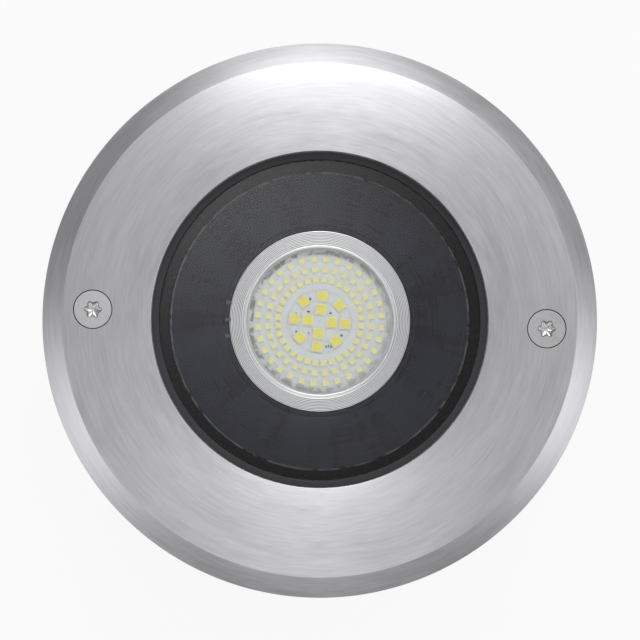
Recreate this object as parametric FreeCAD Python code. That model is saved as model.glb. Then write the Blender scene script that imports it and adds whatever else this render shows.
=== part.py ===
"""In-ground well light: a stainless bezel and toughened glass over a tilting lamp in a cast well.

Millimetres, +Z up. The origin is the centre of the bezel's underside, which lies on the paving.
X runs through the two cover screws and along the lamp's tilting axis. Each size that can be chosen
by itself is written once below. What fits in it, seats on it or lines up with it is worked out.
"""

import FreeCAD
import Part

import math
import os

UP = FreeCAD.Vector(0, 0, 1)
FULL_TURN = 360.0
TINY = 1e-6

# ---- glass and its gasket -----------------------------------------------------------------------
GLASS_R = 50.0
GLASS_T = 8.0
GASKET_WALL = 2.0          # rubber round the glass's edge
GASKET_LIP_T = 1.5         # rubber over the glass
GASKET_LIP_GRIP = 6.6      # how far the lip reaches in over the glass

# ---- bezel --------------------------------------------------------------------------------------
BEZEL_H = 4.0
BEZEL_EDGE_H = 1.0         # upright rim outside the bevel
BEZEL_BEVEL_W = 5.7
BEZEL_RECESS = 0.5         # in its underside, inside the rim that lies on the paving
BEZEL_RECESS_GAP = 0.6     # round the sleeve
BEZEL_OVERLAP = 5.5        # how far the bezel covers the paving outside the sleeve
GASKET_SHOW = 2.0          # ring of gasket seen inside the bezel's opening

# ---- cover screws -------------------------------------------------------------------------------
SCREW_R = 2.5
SCREW_HEAD_R = 5.1
SCREW_SINK = 0.15          # head's top below the bezel's face
SCREW_LENGTH = 12.0
COUNTERSINK_GAP = 0.2
SCREW_HOLE_GAP = 0.25
DRIVE_TIP_R = 2.25
DRIVE_VALLEY_R = 1.6
DRIVE_DEPTH = 1.9
DRIVE_POINTS = 6
THREAD_GAP = 0.05          # running clearance of a screw in its thread
SCREW_TIP_ROOM = 1.2

# ---- housing ------------------------------------------------------------------------------------
POCKET_CLEARANCE = 0.2     # round the gasket
POCKET_TO_SCREW = 8.95
SCREW_TO_RIM = 5.0
LEDGE_WIDTH = 7.8          # glass seat at the pocket's foot
LEDGE_T = 3.0
FLANGE_GAP = 0.3           # bezel's underside down to the flange
FLUTE_COUNT = 40           # round the well's wall
BODY_SIDES = 24            # flats round the outside
FLUTE_DEPTH = 0.6
BODY_WALL = 3.0
FLOOR_T = 4.0
GUSSET_COUNT = 8
GUSSET_T = 3.0
GUSSET_DROP = 20.0
GUSSET_REACH = 12.0
RIB_PROUD = 1.5
RIB_END = 6.0              # left bare above the body's foot

# ---- lamp plate: the ring that carries the lamp -------------------------------------------------
PLATE_GAP = 3.2            # between its edge and the well's wall
TILT_LIMIT_DEG = 7.0
TILT_ROOM = 1.0            # left under the glass at the tilt's end
PIVOT_DROP = 15.0          # tilting axis below the plate's edge
LAMP_HOLE_GAP = 1.4
LAMP_SINK = 1.5            # lamp's face below the plate's
SEAT_T = 1.6
SEAT_W = 7.0
SEAT_COUNT = 3
SEAT_GRIP = 1.6            # how far a seat reaches under the lamp's rim

# ---- lamp ---------------------------------------------------------------------------------------
LAMP_R = 25.0
LAMP_RIM_T = 2.4
LAMP_RIM_W = 4.2           # flat face of the rim
CUP_WALL = 1.2
LAMP_BODY_L = 32.0         # face to the foot of the fins
LAMP_CORE_R = 9.5
CUP_FLOOR_T = 1.6
FIN_COUNT = 12
FIN_T = 1.5
FIN_INSET = 1.0            # from the cup's outside
FIN_KNEE_INSET = 2.5
FIN_KNEE_DROP = 19.0
FIN_FOOT_R = 11.0
FACE_SINK = 0.3            # clear face below the rim
FACE_T = 1.2
FIT_GAP = 0.1              # loose fit between the lamp's own pieces
BOARD_DEPTH = 5.0          # the board's underside below the rim
BOARD_T = 1.6
LARGE_CHIP = 2.9
LARGE_CHIP_H = 0.7
LARGE_CHIP_INNER_R = 3.35
LARGE_CHIP_OUTER_R = 7.05
LARGE_CHIP_ARMS = 4
CHIP_TURN_DEG = -3.4       # the whole pattern is turned a little from the row axes
LAMP_BASE_L = 11.0
LAMP_BASE_X = 11.0
LAMP_BASE_Y = 16.5
LAMP_BASE_CHAMFER = 2.5
PIN_R = 0.78
PIN_SPACING = 5.33
PIN_LENGTH = 6.5

# ---- lampholder, bracket and terminals ----------------------------------------------------------
HOLDER_GAP = 0.3           # lamp's base to the holder
HOLDER_L = 20.0
HOLDER_W = 10.0
HOLDER_H = 14.0
HOLDER_CHAMFER = 2.0
SOCKET_GAP = 0.06
SOCKET_DEPTH = 8.0
BRACKET_T = 1.5
BRACKET_BEND = 1.0
BRACKET_ARM_GAP = 1.5      # from the lamp hole's edge to the arms
BRACKET_EAR_L = 6.5
TERMINAL_GAP = 1.4         # from the bracket's arm
TERMINAL_L = 13.5
TERMINAL_W = 16.0
TERMINAL_H = 10.0
TERMINAL_NOTCH_W = 1.6     # valley between the two poles
TERMINAL_NOTCH_H = 6.0
TERMINAL_STEP_W = 3.0      # lower ledge along each side, where the wires go in
TERMINAL_STEP_H = 5.0

# ---- yoke and pivots ----------------------------------------------------------------------------
LUG_INSET = 5.7            # from the plate's edge
LUG_T = 5.5
LUG_HALF_W = 4.4           # also from the pivot to its foot
PIVOT_R = 2.0
PIVOT_HOLE_GAP = 0.08
PIVOT_HEAD_AF = 7.0
PIVOT_HEAD_H = 2.2
PIVOT_PLAY = 0.05
PIVOT_SIDE_GAP = 0.3       # lug to ear
YOKE_T = 2.0
YOKE_HALF_W = 5.5          # also from the pivot to its top
YOKE_BEND = 1.0
YOKE_FOOT_L = 16.0
CORNER_CUT = 2.2           # off the corners of the lugs and of the yoke's ears
SWING_ROOM = 8.5           # under the bracket when the lamp tilts

# ---- cable gland --------------------------------------------------------------------------------
GLAND_THREAD_R = 8.0
GLAND_AF = 22.0            # across the flats
GLAND_HEX_H = 6.0
GLAND_NUT_AF = 20.0
GLAND_NUT_H = 9.0
GLAND_NOSE_R = 7.5
GLAND_NOSE_L = 4.0
GLAND_NOSE_SIDES = 12
CABLE_R = 4.0

# ---- ground sleeve ------------------------------------------------------------------------------
SLEEVE_CLEARANCE = 0.35    # round the housing's flange, at the middle of each flat
SLEEVE_WALL = 3.0
SLEEVE_TOP_GAP = 1.5         # below the paving
SLEEVE_SEAT_COUNT = 4
SLEEVE_SEAT_T = 4.0
SLEEVE_SEAT_GRIP = 8.5     # how far an inner rib reaches in under the flange
CONDUIT_R = 12.7
CONDUIT_WALL = 2.5
CONDUIT_END = 5.0          # spigot's end outside the sleeve
CONDUIT_ROOM = 1.0         # above the base ring
SLEEVE_SIDES = 24
BASE_T = 3.0
BASE_PROUD = 5.0
OUTER_RIB_COUNT = 8
OUTER_RIB_T = 3.0
OUTER_RIB_PROUD = 2.5
OUTER_RIB_TOP_GAP = 8.0

# ---- worked out: radii, from the glass outwards -------------------------------------------------
GASKET_R = GLASS_R + GASKET_WALL
GASKET_LIP_R = GLASS_R - GASKET_LIP_GRIP
OPENING_R = GASKET_LIP_R + GASKET_SHOW
POCKET_R = GASKET_R + POCKET_CLEARANCE
SCREW_X = POCKET_R + POCKET_TO_SCREW
FLANGE_R = SCREW_X + SCREW_TO_RIM
SLEEVE_IN_R = FLANGE_R + SLEEVE_CLEARANCE
SLEEVE_R = SLEEVE_IN_R + SLEEVE_WALL
BEZEL_R = SLEEVE_R + BEZEL_OVERLAP
BORE_R = POCKET_R - LEDGE_WIDTH
BODY_R = BORE_R + FLUTE_DEPTH + BODY_WALL
PLATE_R = BORE_R - PLATE_GAP
LAMP_HOLE_R = LAMP_R + LAMP_HOLE_GAP
CAVITY_R = LAMP_R - LAMP_RIM_W
CUP_R = CAVITY_R + CUP_WALL
BRACKET_ARM_Y = LAMP_HOLE_R + BRACKET_ARM_GAP
BRACKET_W = TERMINAL_W
LUG_OUTER_X = PLATE_R - LUG_INSET
YOKE_X = LUG_OUTER_X + PIVOT_SIDE_GAP + YOKE_T
SPIGOT_END_Y = SLEEVE_R + CONDUIT_END

# ---- worked out: levels, from the paving down ---------------------------------------------------
GLASS_TOP_Z = BEZEL_RECESS - GASKET_LIP_T
GLASS_FOOT_Z = GLASS_TOP_Z - GLASS_T
SCREW_TOP_Z = BEZEL_H - SCREW_SINK
SCREW_TIP_Z = SCREW_TOP_Z - SCREW_LENGTH
FLANGE_TOP_Z = -FLANGE_GAP
FLANGE_Z = GLASS_FOOT_Z - LEDGE_T
TILT_RISE = (PLATE_R * math.sin(math.radians(TILT_LIMIT_DEG))
             - PIVOT_DROP * (1 - math.cos(math.radians(TILT_LIMIT_DEG))))
PLATE_Z = GLASS_FOOT_Z - TILT_ROOM - TILT_RISE
PIVOT_Z = PLATE_Z - PIVOT_DROP
LAMP_Z = PLATE_Z - LAMP_SINK
SEAT_Z = LAMP_Z - LAMP_RIM_T
PLATE_FOOT_Z = SEAT_Z - SEAT_T
BOARD_Z = LAMP_Z - BOARD_DEPTH
BOARD_TOP_Z = BOARD_Z + BOARD_T
CUP_FOOT_Z = BOARD_Z - CUP_FLOOR_T
LAMP_FOOT_Z = LAMP_Z - LAMP_BODY_L
LAMP_BASE_Z = LAMP_FOOT_Z - LAMP_BASE_L
HOLDER_Z = LAMP_BASE_Z - HOLDER_GAP
BRACKET_Z = HOLDER_Z - HOLDER_H
FLOOR_Z = BRACKET_Z - BRACKET_T - SWING_ROOM
BODY_Z = FLOOR_Z - FLOOR_T
GLAND_HEX_Z = BODY_Z - GLAND_HEX_H
SLEEVE_TOP_Z = -SLEEVE_TOP_GAP
BASE_TOP_Z = BODY_Z - 2 * (CONDUIT_R + CONDUIT_WALL + CONDUIT_ROOM)
BASE_Z = BASE_TOP_Z - BASE_T
CONDUIT_Z = (BODY_Z + BASE_TOP_Z) / 2


# ---- shared ways of making a shape --------------------------------------------------------------
def vector(point, plane):
    """A point of a flat outline as a vector: plane xz, xy or yz."""
    u, v = point[0], point[1]
    planes = {"xz": (u, 0, v), "xy": (u, v, 0), "yz": (0, u, v)}
    return FreeCAD.Vector(*planes[plane])


def outline(corners, plane="xz"):
    """Closed face through corners (u, v) or (u, v, radius), where a radius rounds that corner."""
    edges, start, last = [], None, None
    count = len(corners)
    for i, corner in enumerate(corners):
        here = vector(corner, plane)
        back = vector(corners[i - 1], plane) - here
        ahead = vector(corners[(i + 1) % count], plane) - here
        first = second = here
        if len(corner) > 2:
            half = back.getAngle(ahead) / 2
            reach = corner[2] / math.tan(half)
            back.normalize()
            ahead.normalize()
            first, second = here + back * reach, here + ahead * reach
            bisector = (back + ahead).normalize()
            middle = here + bisector * (corner[2] / math.sin(half) - corner[2])
        if last is not None and (first - last).Length > TINY:
            edges.append(Part.LineSegment(last, first).toShape())
        if len(corner) > 2:
            edges.append(Part.Arc(first, middle, second).toShape())
        start = first if start is None else start
        last = second
    if (start - last).Length > TINY:
        edges.append(Part.LineSegment(last, start).toShape())
    return Part.Face(Part.Wire(edges))


def turned(corners):
    """Solid of revolution about Z from corners (radius, height)."""
    return outline(corners).revolve(FreeCAD.Vector(), UP, FULL_TURN)


def prism(corners, plane, start, thickness):
    """Outline in a plane, moved to a start point and given a thickness along the plane's normal."""
    normals = {"xz": (0, 1, 0), "xy": (0, 0, 1), "yz": (1, 0, 0)}
    face = outline(corners, plane)
    face.translate(FreeCAD.Vector(*start))
    return face.extrude(FreeCAD.Vector(*normals[plane]) * thickness)


def web(corners, thickness):
    """Flat web in the XZ plane, centred on it."""
    return prism(corners, "xz", (0, -thickness / 2, 0), thickness)


def rod(radius, low, high, x=0.0, y=0.0):
    """Upright round bar."""
    return Part.makeCylinder(radius, high - low, FreeCAD.Vector(x, y, low))


def bar(radius, start, direction, length):
    """Round bar from a start point along a direction."""
    return Part.makeCylinder(radius, length, FreeCAD.Vector(*start), FreeCAD.Vector(*direction))


def box(x_size, y_size, low, high, x=0.0, y=0.0):
    """Upright block centred on x, y."""
    return Part.makeBox(x_size, y_size, high - low, FreeCAD.Vector(x - x_size / 2, y - y_size / 2, low))


def chamfered_box(x_size, y_size, low, high, chamfer):
    """Upright block on the Z axis whose four upright edges are cut off."""
    x, y = x_size / 2, y_size / 2
    corners = [(x, chamfer - y), (x, y - chamfer), (x - chamfer, y), (chamfer - x, y),
               (-x, y - chamfer), (-x, chamfer - y), (chamfer - x, -y), (x - chamfer, -y)]
    return prism(corners, "xy", (0, 0, low), high - low)


def around(shape, count, start_deg=0.0):
    """Copies of a shape at even steps round Z."""
    return [shape.rotated(FreeCAD.Vector(), UP, start_deg + FULL_TURN * i / count) for i in range(count)]


def both_sides(shape):
    """A shape and its half-turned copy."""
    return around(shape, 2)


def placed(shape, x=0.0, y=0.0, z=0.0):
    """A copy moved to a place."""
    return shape.translated(FreeCAD.Vector(x, y, z))


def polygon(radii, count):
    """Corners of a star or regular polygon: the radii are taken in turn, count times round."""
    corners = []
    total = count * len(radii)
    for i in range(total):
        angle = 2 * math.pi * i / total
        radius = radii[i % len(radii)]
        corners.append((radius * math.cos(angle), radius * math.sin(angle)))
    return corners


def flatted(flat_radius, sides, low, high):
    """Regular upright prism on the Z axis, sized by the distance from the axis to its flats."""
    corner_r = flat_radius / math.cos(math.pi / sides)
    return prism(polygon([corner_r], sides), "xy", (0, 0, low), high - low)


def hexagon(across_flats, low, high):
    """Hexagonal prism on the Z axis."""
    return flatted(across_flats / 2, 6, low, high)


def ear(half_width, top, foot, at_top):
    """Upright strip outline in YZ whose two corners at one end are cut off."""
    end = top if at_top else foot
    inward = -CORNER_CUT if at_top else CORNER_CUT
    square = foot if at_top else top
    return [(-half_width, square), (half_width, square), (half_width, end + inward),
            (half_width - CORNER_CUT, end), (CORNER_CUT - half_width, end), (-half_width, end + inward)]


# ---- bezel and what it holds down ---------------------------------------------------------------
def bezel_ring():
    """Flat ring with a bevelled outer edge, a shallow recess below and two countersunk holes."""
    ring = turned([(OPENING_R, 0), (BEZEL_R, 0), (BEZEL_R, BEZEL_EDGE_H),
                   (BEZEL_R - BEZEL_BEVEL_W, BEZEL_H), (OPENING_R, BEZEL_H)])
    mouth_r = SCREW_HEAD_R + SCREW_SINK + COUNTERSINK_GAP
    hole_r = SCREW_R + SCREW_HOLE_GAP
    hole = turned([(0, 0), (hole_r, 0), (hole_r, BEZEL_H - mouth_r + hole_r),
                   (mouth_r, BEZEL_H), (0, BEZEL_H)])
    recess = flatted(SLEEVE_R + BEZEL_RECESS_GAP, SLEEVE_SIDES, 0, BEZEL_RECESS)
    return ring.cut([recess] + both_sides(placed(hole, x=SCREW_X)))


def bezel_screws():
    """Two countersunk screws with six-pointed driving recesses."""
    cone_foot = SCREW_TOP_Z - SCREW_HEAD_R + SCREW_R
    screw = turned([(0, SCREW_TIP_Z), (SCREW_R, SCREW_TIP_Z), (SCREW_R, cone_foot),
                    (SCREW_HEAD_R, SCREW_TOP_Z), (0, SCREW_TOP_Z)])
    star = polygon([DRIVE_TIP_R, DRIVE_VALLEY_R], DRIVE_POINTS)
    screw = screw.cut(prism(star, "xy", (0, 0, SCREW_TOP_Z - DRIVE_DEPTH), DRIVE_DEPTH))
    return Part.makeCompound(both_sides(placed(screw, x=SCREW_X)))


def front_glass():
    """Toughened disc."""
    return rod(GLASS_R, GLASS_FOOT_Z, GLASS_TOP_Z)


def glass_gasket():
    """Rubber ring over the glass's rim and down round its edge, pressed by the bezel."""
    return turned([(GASKET_LIP_R, GLASS_TOP_Z), (GASKET_LIP_R, BEZEL_RECESS), (GASKET_R, BEZEL_RECESS),
                   (GASKET_R, GLASS_FOOT_Z), (GLASS_R, GLASS_FOOT_Z), (GLASS_R, GLASS_TOP_Z)])


# ---- housing and what is fixed in it ------------------------------------------------------------
def gussets():
    """Webs between the flange and the body."""
    inside, outside = BODY_R - BODY_WALL / 2, BODY_R + RIB_PROUD
    gusset = web([(inside, FLANGE_Z), (BODY_R + GUSSET_REACH, FLANGE_Z), (outside, FLANGE_Z - GUSSET_DROP),
                  (outside, BODY_Z + RIB_END), (inside, BODY_Z + RIB_END)], GUSSET_T)
    return around(gusset, GUSSET_COUNT, FULL_TURN / GUSSET_COUNT / 2)


def housing():
    """Cast well: thick flange with the glass pocket, fluted bore, floor and outer gussets."""
    flange = rod(FLANGE_R, FLANGE_Z, FLANGE_TOP_Z).cut(rod(POCKET_R, GLASS_FOOT_Z, FLANGE_TOP_Z))
    body = flatted(BODY_R, BODY_SIDES, BODY_Z, FLANGE_Z)
    well = prism(polygon([BORE_R, BORE_R + FLUTE_DEPTH], FLUTE_COUNT), "xy", (0, 0, FLOOR_Z),
                 GLASS_FOOT_Z - FLOOR_Z)
    screw_hole = rod(SCREW_R + THREAD_GAP, SCREW_TIP_Z - SCREW_TIP_ROOM, FLANGE_TOP_Z, x=SCREW_X)
    gland_hole = rod(GLAND_THREAD_R + THREAD_GAP, BODY_Z, FLOOR_Z)
    return flange.fuse([body] + gussets()).cut([well, gland_hole] + both_sides(screw_hole))


# ---- yoke and pivots ----------------------------------------------------------------------------
def yoke():
    """Two pressed angles standing on the floor, each with an ear for a pivot."""
    top = PIVOT_Z + YOKE_HALF_W
    inner_x, foot_end = YOKE_X - YOKE_T, YOKE_X - YOKE_FOOT_L
    strip = prism([
        (foot_end, FLOOR_Z), (YOKE_X, FLOOR_Z, YOKE_BEND + YOKE_T), (YOKE_X, top), (inner_x, top),
        (inner_x, FLOOR_Z + YOKE_T, YOKE_BEND), (foot_end, FLOOR_Z + YOKE_T)],
        "xz", (0, -YOKE_HALF_W, 0), 2 * YOKE_HALF_W)
    shape = prism(ear(YOKE_HALF_W, top, FLOOR_Z, True), "yz", (foot_end, 0, 0), YOKE_FOOT_L)
    pivot = bar(PIVOT_R + PIVOT_HOLE_GAP, (inner_x, 0, PIVOT_Z), (1, 0, 0), YOKE_T)
    return Part.makeCompound(both_sides(strip.common(shape).cut(pivot)))


def pivot_screws():
    """Two hexagon-head screws on the tilting axis, one through each ear of the yoke."""
    length = YOKE_X + PIVOT_PLAY - (LUG_OUTER_X - LUG_T)
    screw = rod(PIVOT_R, -length, 0).fuse(hexagon(PIVOT_HEAD_AF, 0, PIVOT_HEAD_H))
    screw = screw.rotated(FreeCAD.Vector(), FreeCAD.Vector(0, 1, 0), FULL_TURN / 4)
    return Part.makeCompound(both_sides(placed(screw, x=YOKE_X + PIVOT_PLAY, z=PIVOT_Z)))


# ---- tilting carrier ----------------------------------------------------------------------------
def lamp_plate():
    """Flat ring round the lamp, with three seats under the lamp's rim and two pivot lugs."""
    disc = turned([(PLATE_R, PLATE_Z), (PLATE_R, PLATE_FOOT_Z),
                   (LAMP_HOLE_R, PLATE_FOOT_Z), (LAMP_HOLE_R, PLATE_Z)])
    seat_in, seat_out = LAMP_R - SEAT_GRIP, LAMP_HOLE_R + SEAT_GRIP
    seat = box(seat_out - seat_in, SEAT_W, PLATE_FOOT_Z, SEAT_Z, x=(seat_in + seat_out) / 2)
    seats = around(seat, SEAT_COUNT, FULL_TURN / SEAT_COUNT / 2)
    lug_x = LUG_OUTER_X - LUG_T
    lug = prism(ear(LUG_HALF_W, SEAT_Z, PIVOT_Z - LUG_HALF_W, False), "yz", (lug_x, 0, 0), LUG_T)
    hole = bar(PIVOT_R + THREAD_GAP, (lug_x, 0, PIVOT_Z), (1, 0, 0), LUG_T)
    return disc.fuse(seats + both_sides(lug)).cut(both_sides(hole))


def holder_bracket():
    """Pressed top-hat strap under the plate that carries the lampholder and the terminals."""
    out, ear_end = BRACKET_ARM_Y + BRACKET_T, BRACKET_ARM_Y + BRACKET_T + BRACKET_EAR_L
    foot, bend = BRACKET_Z - BRACKET_T, BRACKET_BEND + BRACKET_T
    right = [(out, foot, bend), (out, PLATE_FOOT_Z - BRACKET_T), (ear_end, PLATE_FOOT_Z - BRACKET_T),
             (ear_end, PLATE_FOOT_Z), (BRACKET_ARM_Y, PLATE_FOOT_Z), (BRACKET_ARM_Y, BRACKET_Z, BRACKET_BEND)]
    left = [(-corner[0],) + tuple(corner[1:]) for corner in reversed(right)]
    return prism(right + left, "yz", (-BRACKET_W / 2, 0, 0), BRACKET_W)


def lampholder():
    """Ceramic two-pin lampholder."""
    block = chamfered_box(HOLDER_W, HOLDER_L, BRACKET_Z, HOLDER_Z, HOLDER_CHAMFER)
    socket = rod(PIN_R + SOCKET_GAP, HOLDER_Z - SOCKET_DEPTH, HOLDER_Z, y=PIN_SPACING / 2)
    return block.cut(both_sides(socket))


def terminal_block():
    """Two-pole connector: a raised middle over stepped sides, with a valley between its poles."""
    half, step = TERMINAL_W / 2, TERMINAL_W / 2 - TERMINAL_STEP_W
    near = BRACKET_ARM_Y - TERMINAL_GAP - TERMINAL_L
    top, ledge = BRACKET_Z + TERMINAL_H, BRACKET_Z + TERMINAL_STEP_H
    block = prism([(-half, BRACKET_Z), (half, BRACKET_Z), (half, ledge), (step, ledge), (step, top),
                   (-step, top), (-step, ledge), (-half, ledge)], "xz", (0, near, 0), TERMINAL_L)
    valley = box(TERMINAL_W, TERMINAL_NOTCH_W, top - TERMINAL_NOTCH_H, top, y=near + TERMINAL_L / 2)
    return block.cut(valley)


# ---- lamp ---------------------------------------------------------------------------------------
def fin():
    """One cooling fin under the cup, narrowing to the lamp's foot."""
    inside = LAMP_CORE_R / 2
    return web([(inside, CUP_FOOT_Z), (CUP_R - FIN_INSET, CUP_FOOT_Z),
                (CUP_R - FIN_KNEE_INSET, LAMP_Z - FIN_KNEE_DROP), (FIN_FOOT_R, LAMP_FOOT_Z),
                (inside, LAMP_FOOT_Z)], FIN_T)


def lamp_shell():
    """Heat sink: flat round rim, many-sided cup and core, and cooling fins."""
    rim = rod(LAMP_R, SEAT_Z, LAMP_Z)
    cup = flatted(CUP_R, 2 * FIN_COUNT, CUP_FOOT_Z, SEAT_Z)
    core = flatted(LAMP_CORE_R, FIN_COUNT, LAMP_FOOT_Z, CUP_FOOT_Z)
    return rim.fuse([cup, core] + around(fin(), FIN_COUNT)).cut(rod(CAVITY_R, BOARD_Z, LAMP_Z))


def lamp_lens():
    """Clear face, a little below the rim."""
    top = LAMP_Z - FACE_SINK
    return rod(CAVITY_R - FIT_GAP, top - FACE_T, top)


def led_board():
    """Round aluminium-backed board on the recess's floor."""
    return rod(CAVITY_R - FIT_GAP, BOARD_Z, BOARD_TOP_Z)


def large_chips():
    """Twelve large chips: a cross of eight and four between its arms."""
    top = BOARD_TOP_Z + LARGE_CHIP_H
    inner = box(LARGE_CHIP, LARGE_CHIP, BOARD_TOP_Z, top, y=LARGE_CHIP_INNER_R)
    outer = box(LARGE_CHIP, LARGE_CHIP, BOARD_TOP_Z, top, y=LARGE_CHIP_OUTER_R)
    between = CHIP_TURN_DEG + FULL_TURN / LARGE_CHIP_ARMS / 2
    return Part.makeCompound(around(inner, LARGE_CHIP_ARMS, CHIP_TURN_DEG)
                             + around(outer, LARGE_CHIP_ARMS, CHIP_TURN_DEG)
                             + around(outer, LARGE_CHIP_ARMS, between))


def lamp_base():
    """Moulded block under the fins that carries the pins."""
    return chamfered_box(LAMP_BASE_X, LAMP_BASE_Y, LAMP_BASE_Z, LAMP_FOOT_Z, LAMP_BASE_CHAMFER)


def lamp_pins():
    """Two straight contact pins."""
    return Part.makeCompound(both_sides(rod(PIN_R, LAMP_BASE_Z - PIN_LENGTH, LAMP_BASE_Z, y=PIN_SPACING / 2)))


# ---- cable gland --------------------------------------------------------------------------------
def gland_body():
    """Threaded entry through the floor, with the hexagon that seats under it."""
    entry = rod(GLAND_THREAD_R, BODY_Z, FLOOR_Z)
    return entry.fuse(hexagon(GLAND_AF, GLAND_HEX_Z, BODY_Z)).cut(rod(CABLE_R, GLAND_HEX_Z, FLOOR_Z))


def gland_nut():
    """Clamping nut under the hexagon, with a narrower nose where the cable goes in."""
    foot = GLAND_HEX_Z - GLAND_NUT_H
    nose = flatted(GLAND_NOSE_R, GLAND_NOSE_SIDES, foot - GLAND_NOSE_L, foot)
    nut = hexagon(GLAND_NUT_AF, foot, GLAND_HEX_Z).fuse(nose)
    return nut.cut(rod(CABLE_R, foot - GLAND_NOSE_L, GLAND_HEX_Z))


# ---- ground sleeve ------------------------------------------------------------------------------
def sleeve():
    """Buried many-sided tube: base ring, inner ribs under the flange, outer ribs, one spigot."""
    base = flatted(SLEEVE_R + BASE_PROUD, SLEEVE_SIDES, BASE_Z, BASE_TOP_Z)
    wall = flatted(SLEEVE_R, SLEEVE_SIDES, BASE_TOP_Z, SLEEVE_TOP_Z)
    bore = flatted(SLEEVE_IN_R, SLEEVE_SIDES, BASE_Z, SLEEVE_TOP_Z)
    middle_r = (SLEEVE_IN_R + SLEEVE_R) / 2
    seat_r, outer_r = SLEEVE_IN_R - SLEEVE_SEAT_GRIP, SLEEVE_R + OUTER_RIB_PROUD
    seat = web([(seat_r, FLANGE_Z), (middle_r, FLANGE_Z), (middle_r, BASE_Z), (seat_r, BASE_Z)],
               SLEEVE_SEAT_T)
    rib_top = SLEEVE_TOP_Z - OUTER_RIB_TOP_GAP
    rib = web([(middle_r, rib_top), (outer_r, rib_top), (outer_r, BASE_TOP_Z), (middle_r, BASE_TOP_Z)],
              OUTER_RIB_T)
    spigot = bar(CONDUIT_R + CONDUIT_WALL, (0, middle_r, CONDUIT_Z), (0, 1, 0), SPIGOT_END_Y - middle_r)
    conduit = bar(CONDUIT_R, (0, 0, CONDUIT_Z), (0, 1, 0), SPIGOT_END_Y)
    tube = base.fuse([wall, spigot]).cut(bore)
    ribs = around(seat, SLEEVE_SEAT_COUNT, FULL_TURN / SLEEVE_SEAT_COUNT / 2)
    ribs += around(rib, OUTER_RIB_COUNT, FULL_TURN / OUTER_RIB_COUNT / 2)
    return tube.fuse(ribs).cut(conduit)


NODES = {
    "sleeve": sleeve,
    "housing": housing, "yoke": yoke, "gland_body": gland_body, "gland_nut": gland_nut,
    "bezel_ring": bezel_ring, "bezel_screws": bezel_screws,
    "front_glass": front_glass, "glass_gasket": glass_gasket,
    "lamp_plate": lamp_plate, "pivot_screws": pivot_screws, "holder_bracket": holder_bracket,
    "lampholder": lampholder, "terminal_block": terminal_block,
    "lamp_shell": lamp_shell, "lamp_lens": lamp_lens, "led_board": led_board,
    "large_chips": large_chips, "lamp_base": lamp_base, "lamp_pins": lamp_pins,
}


def main():
    """Write each sub-part to its own file."""
    os.makedirs("parts", exist_ok=True)
    for name, make in NODES.items():
        shape = make()
        shape.exportStep("parts/" + name + ".step")
        print(name, "solids", len(shape.Solids), "volume", round(shape.Volume, 1), "valid", shape.isValid())


main()
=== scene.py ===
"""In-ground well light: the looks, built round its solids in millimetres and dressed in node materials.

Each sub-assembly is a class. It reads its place from the solids, builds its pieces and dresses them.
"""

import logging
import math
from collections.abc import Callable
from dataclasses import dataclass
from enum import Enum

import bmesh
import bpy
from mathutils import Matrix, Vector


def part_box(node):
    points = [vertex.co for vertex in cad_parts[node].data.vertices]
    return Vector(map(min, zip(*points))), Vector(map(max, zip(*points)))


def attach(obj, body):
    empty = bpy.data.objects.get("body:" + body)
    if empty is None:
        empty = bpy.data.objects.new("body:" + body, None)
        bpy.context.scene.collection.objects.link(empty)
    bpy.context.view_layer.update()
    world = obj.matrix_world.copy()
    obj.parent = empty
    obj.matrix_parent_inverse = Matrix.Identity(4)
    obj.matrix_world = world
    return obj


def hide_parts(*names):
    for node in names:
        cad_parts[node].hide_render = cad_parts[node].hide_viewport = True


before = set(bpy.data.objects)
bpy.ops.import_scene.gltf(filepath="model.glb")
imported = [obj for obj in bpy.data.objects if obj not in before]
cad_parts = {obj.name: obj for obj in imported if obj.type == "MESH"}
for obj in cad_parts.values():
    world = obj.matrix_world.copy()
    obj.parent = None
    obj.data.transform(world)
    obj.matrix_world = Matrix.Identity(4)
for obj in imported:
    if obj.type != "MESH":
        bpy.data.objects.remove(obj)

MM = 0.001
TAU = 2 * math.pi
ON_AXIS = 1e-6
CRISP_DEG = 32.0
SCREW_X = 61.15         # cover screws' axes, at either side of the middle, in mm
LEDGE_T = 3.0           # flange under the glass pocket
GLAND_HOLE_R = 8.05
Colour = tuple[float, float, float]
Corner = tuple[float, ...]
Flat = tuple[float, float]

log = logging.getLogger("well_light")


# ---- expressions on node sockets ----------------------------------------------------------------
def operator(operation: str, swapped: bool = False) -> Callable[["Wire", "Number"], "Wire"]:
    """A Python operator that adds a Math node, with its two sides swapped where that is asked."""
    def apply(wire: "Wire", other: "Number") -> "Wire":
        """Both sides joined by the node."""
        sides = (other, wire) if swapped else (wire, other)
        return wire.graph.maths(operation, *sides)
    return apply


class Wire:
    """A node's output, which can be used in sums."""

    __add__, __radd__ = operator("ADD"), operator("ADD", swapped=True)
    __sub__, __rsub__ = operator("SUBTRACT"), operator("SUBTRACT", swapped=True)
    __mul__, __truediv__, __pow__ = operator("MULTIPLY"), operator("DIVIDE"), operator("POWER")
    __gt__, __lt__ = operator("GREATER_THAN"), operator("LESS_THAN")

    def __init__(self, graph: "Graph", socket: bpy.types.NodeSocket) -> None:
        """Keep the output and the graph that it belongs to."""
        self.graph = graph
        self.socket = socket

    def clear(self) -> "Wire":
        """self held between 0 and 1."""
        return self.graph.maths("ADD", self, 0.0, clamp=True)


Number = Wire | float


@dataclass(frozen=True)
class Polar:
    """Where a point lies round the Z axis."""

    radius: Wire
    cosine: Wire
    sine: Wire
    height: Wire


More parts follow.
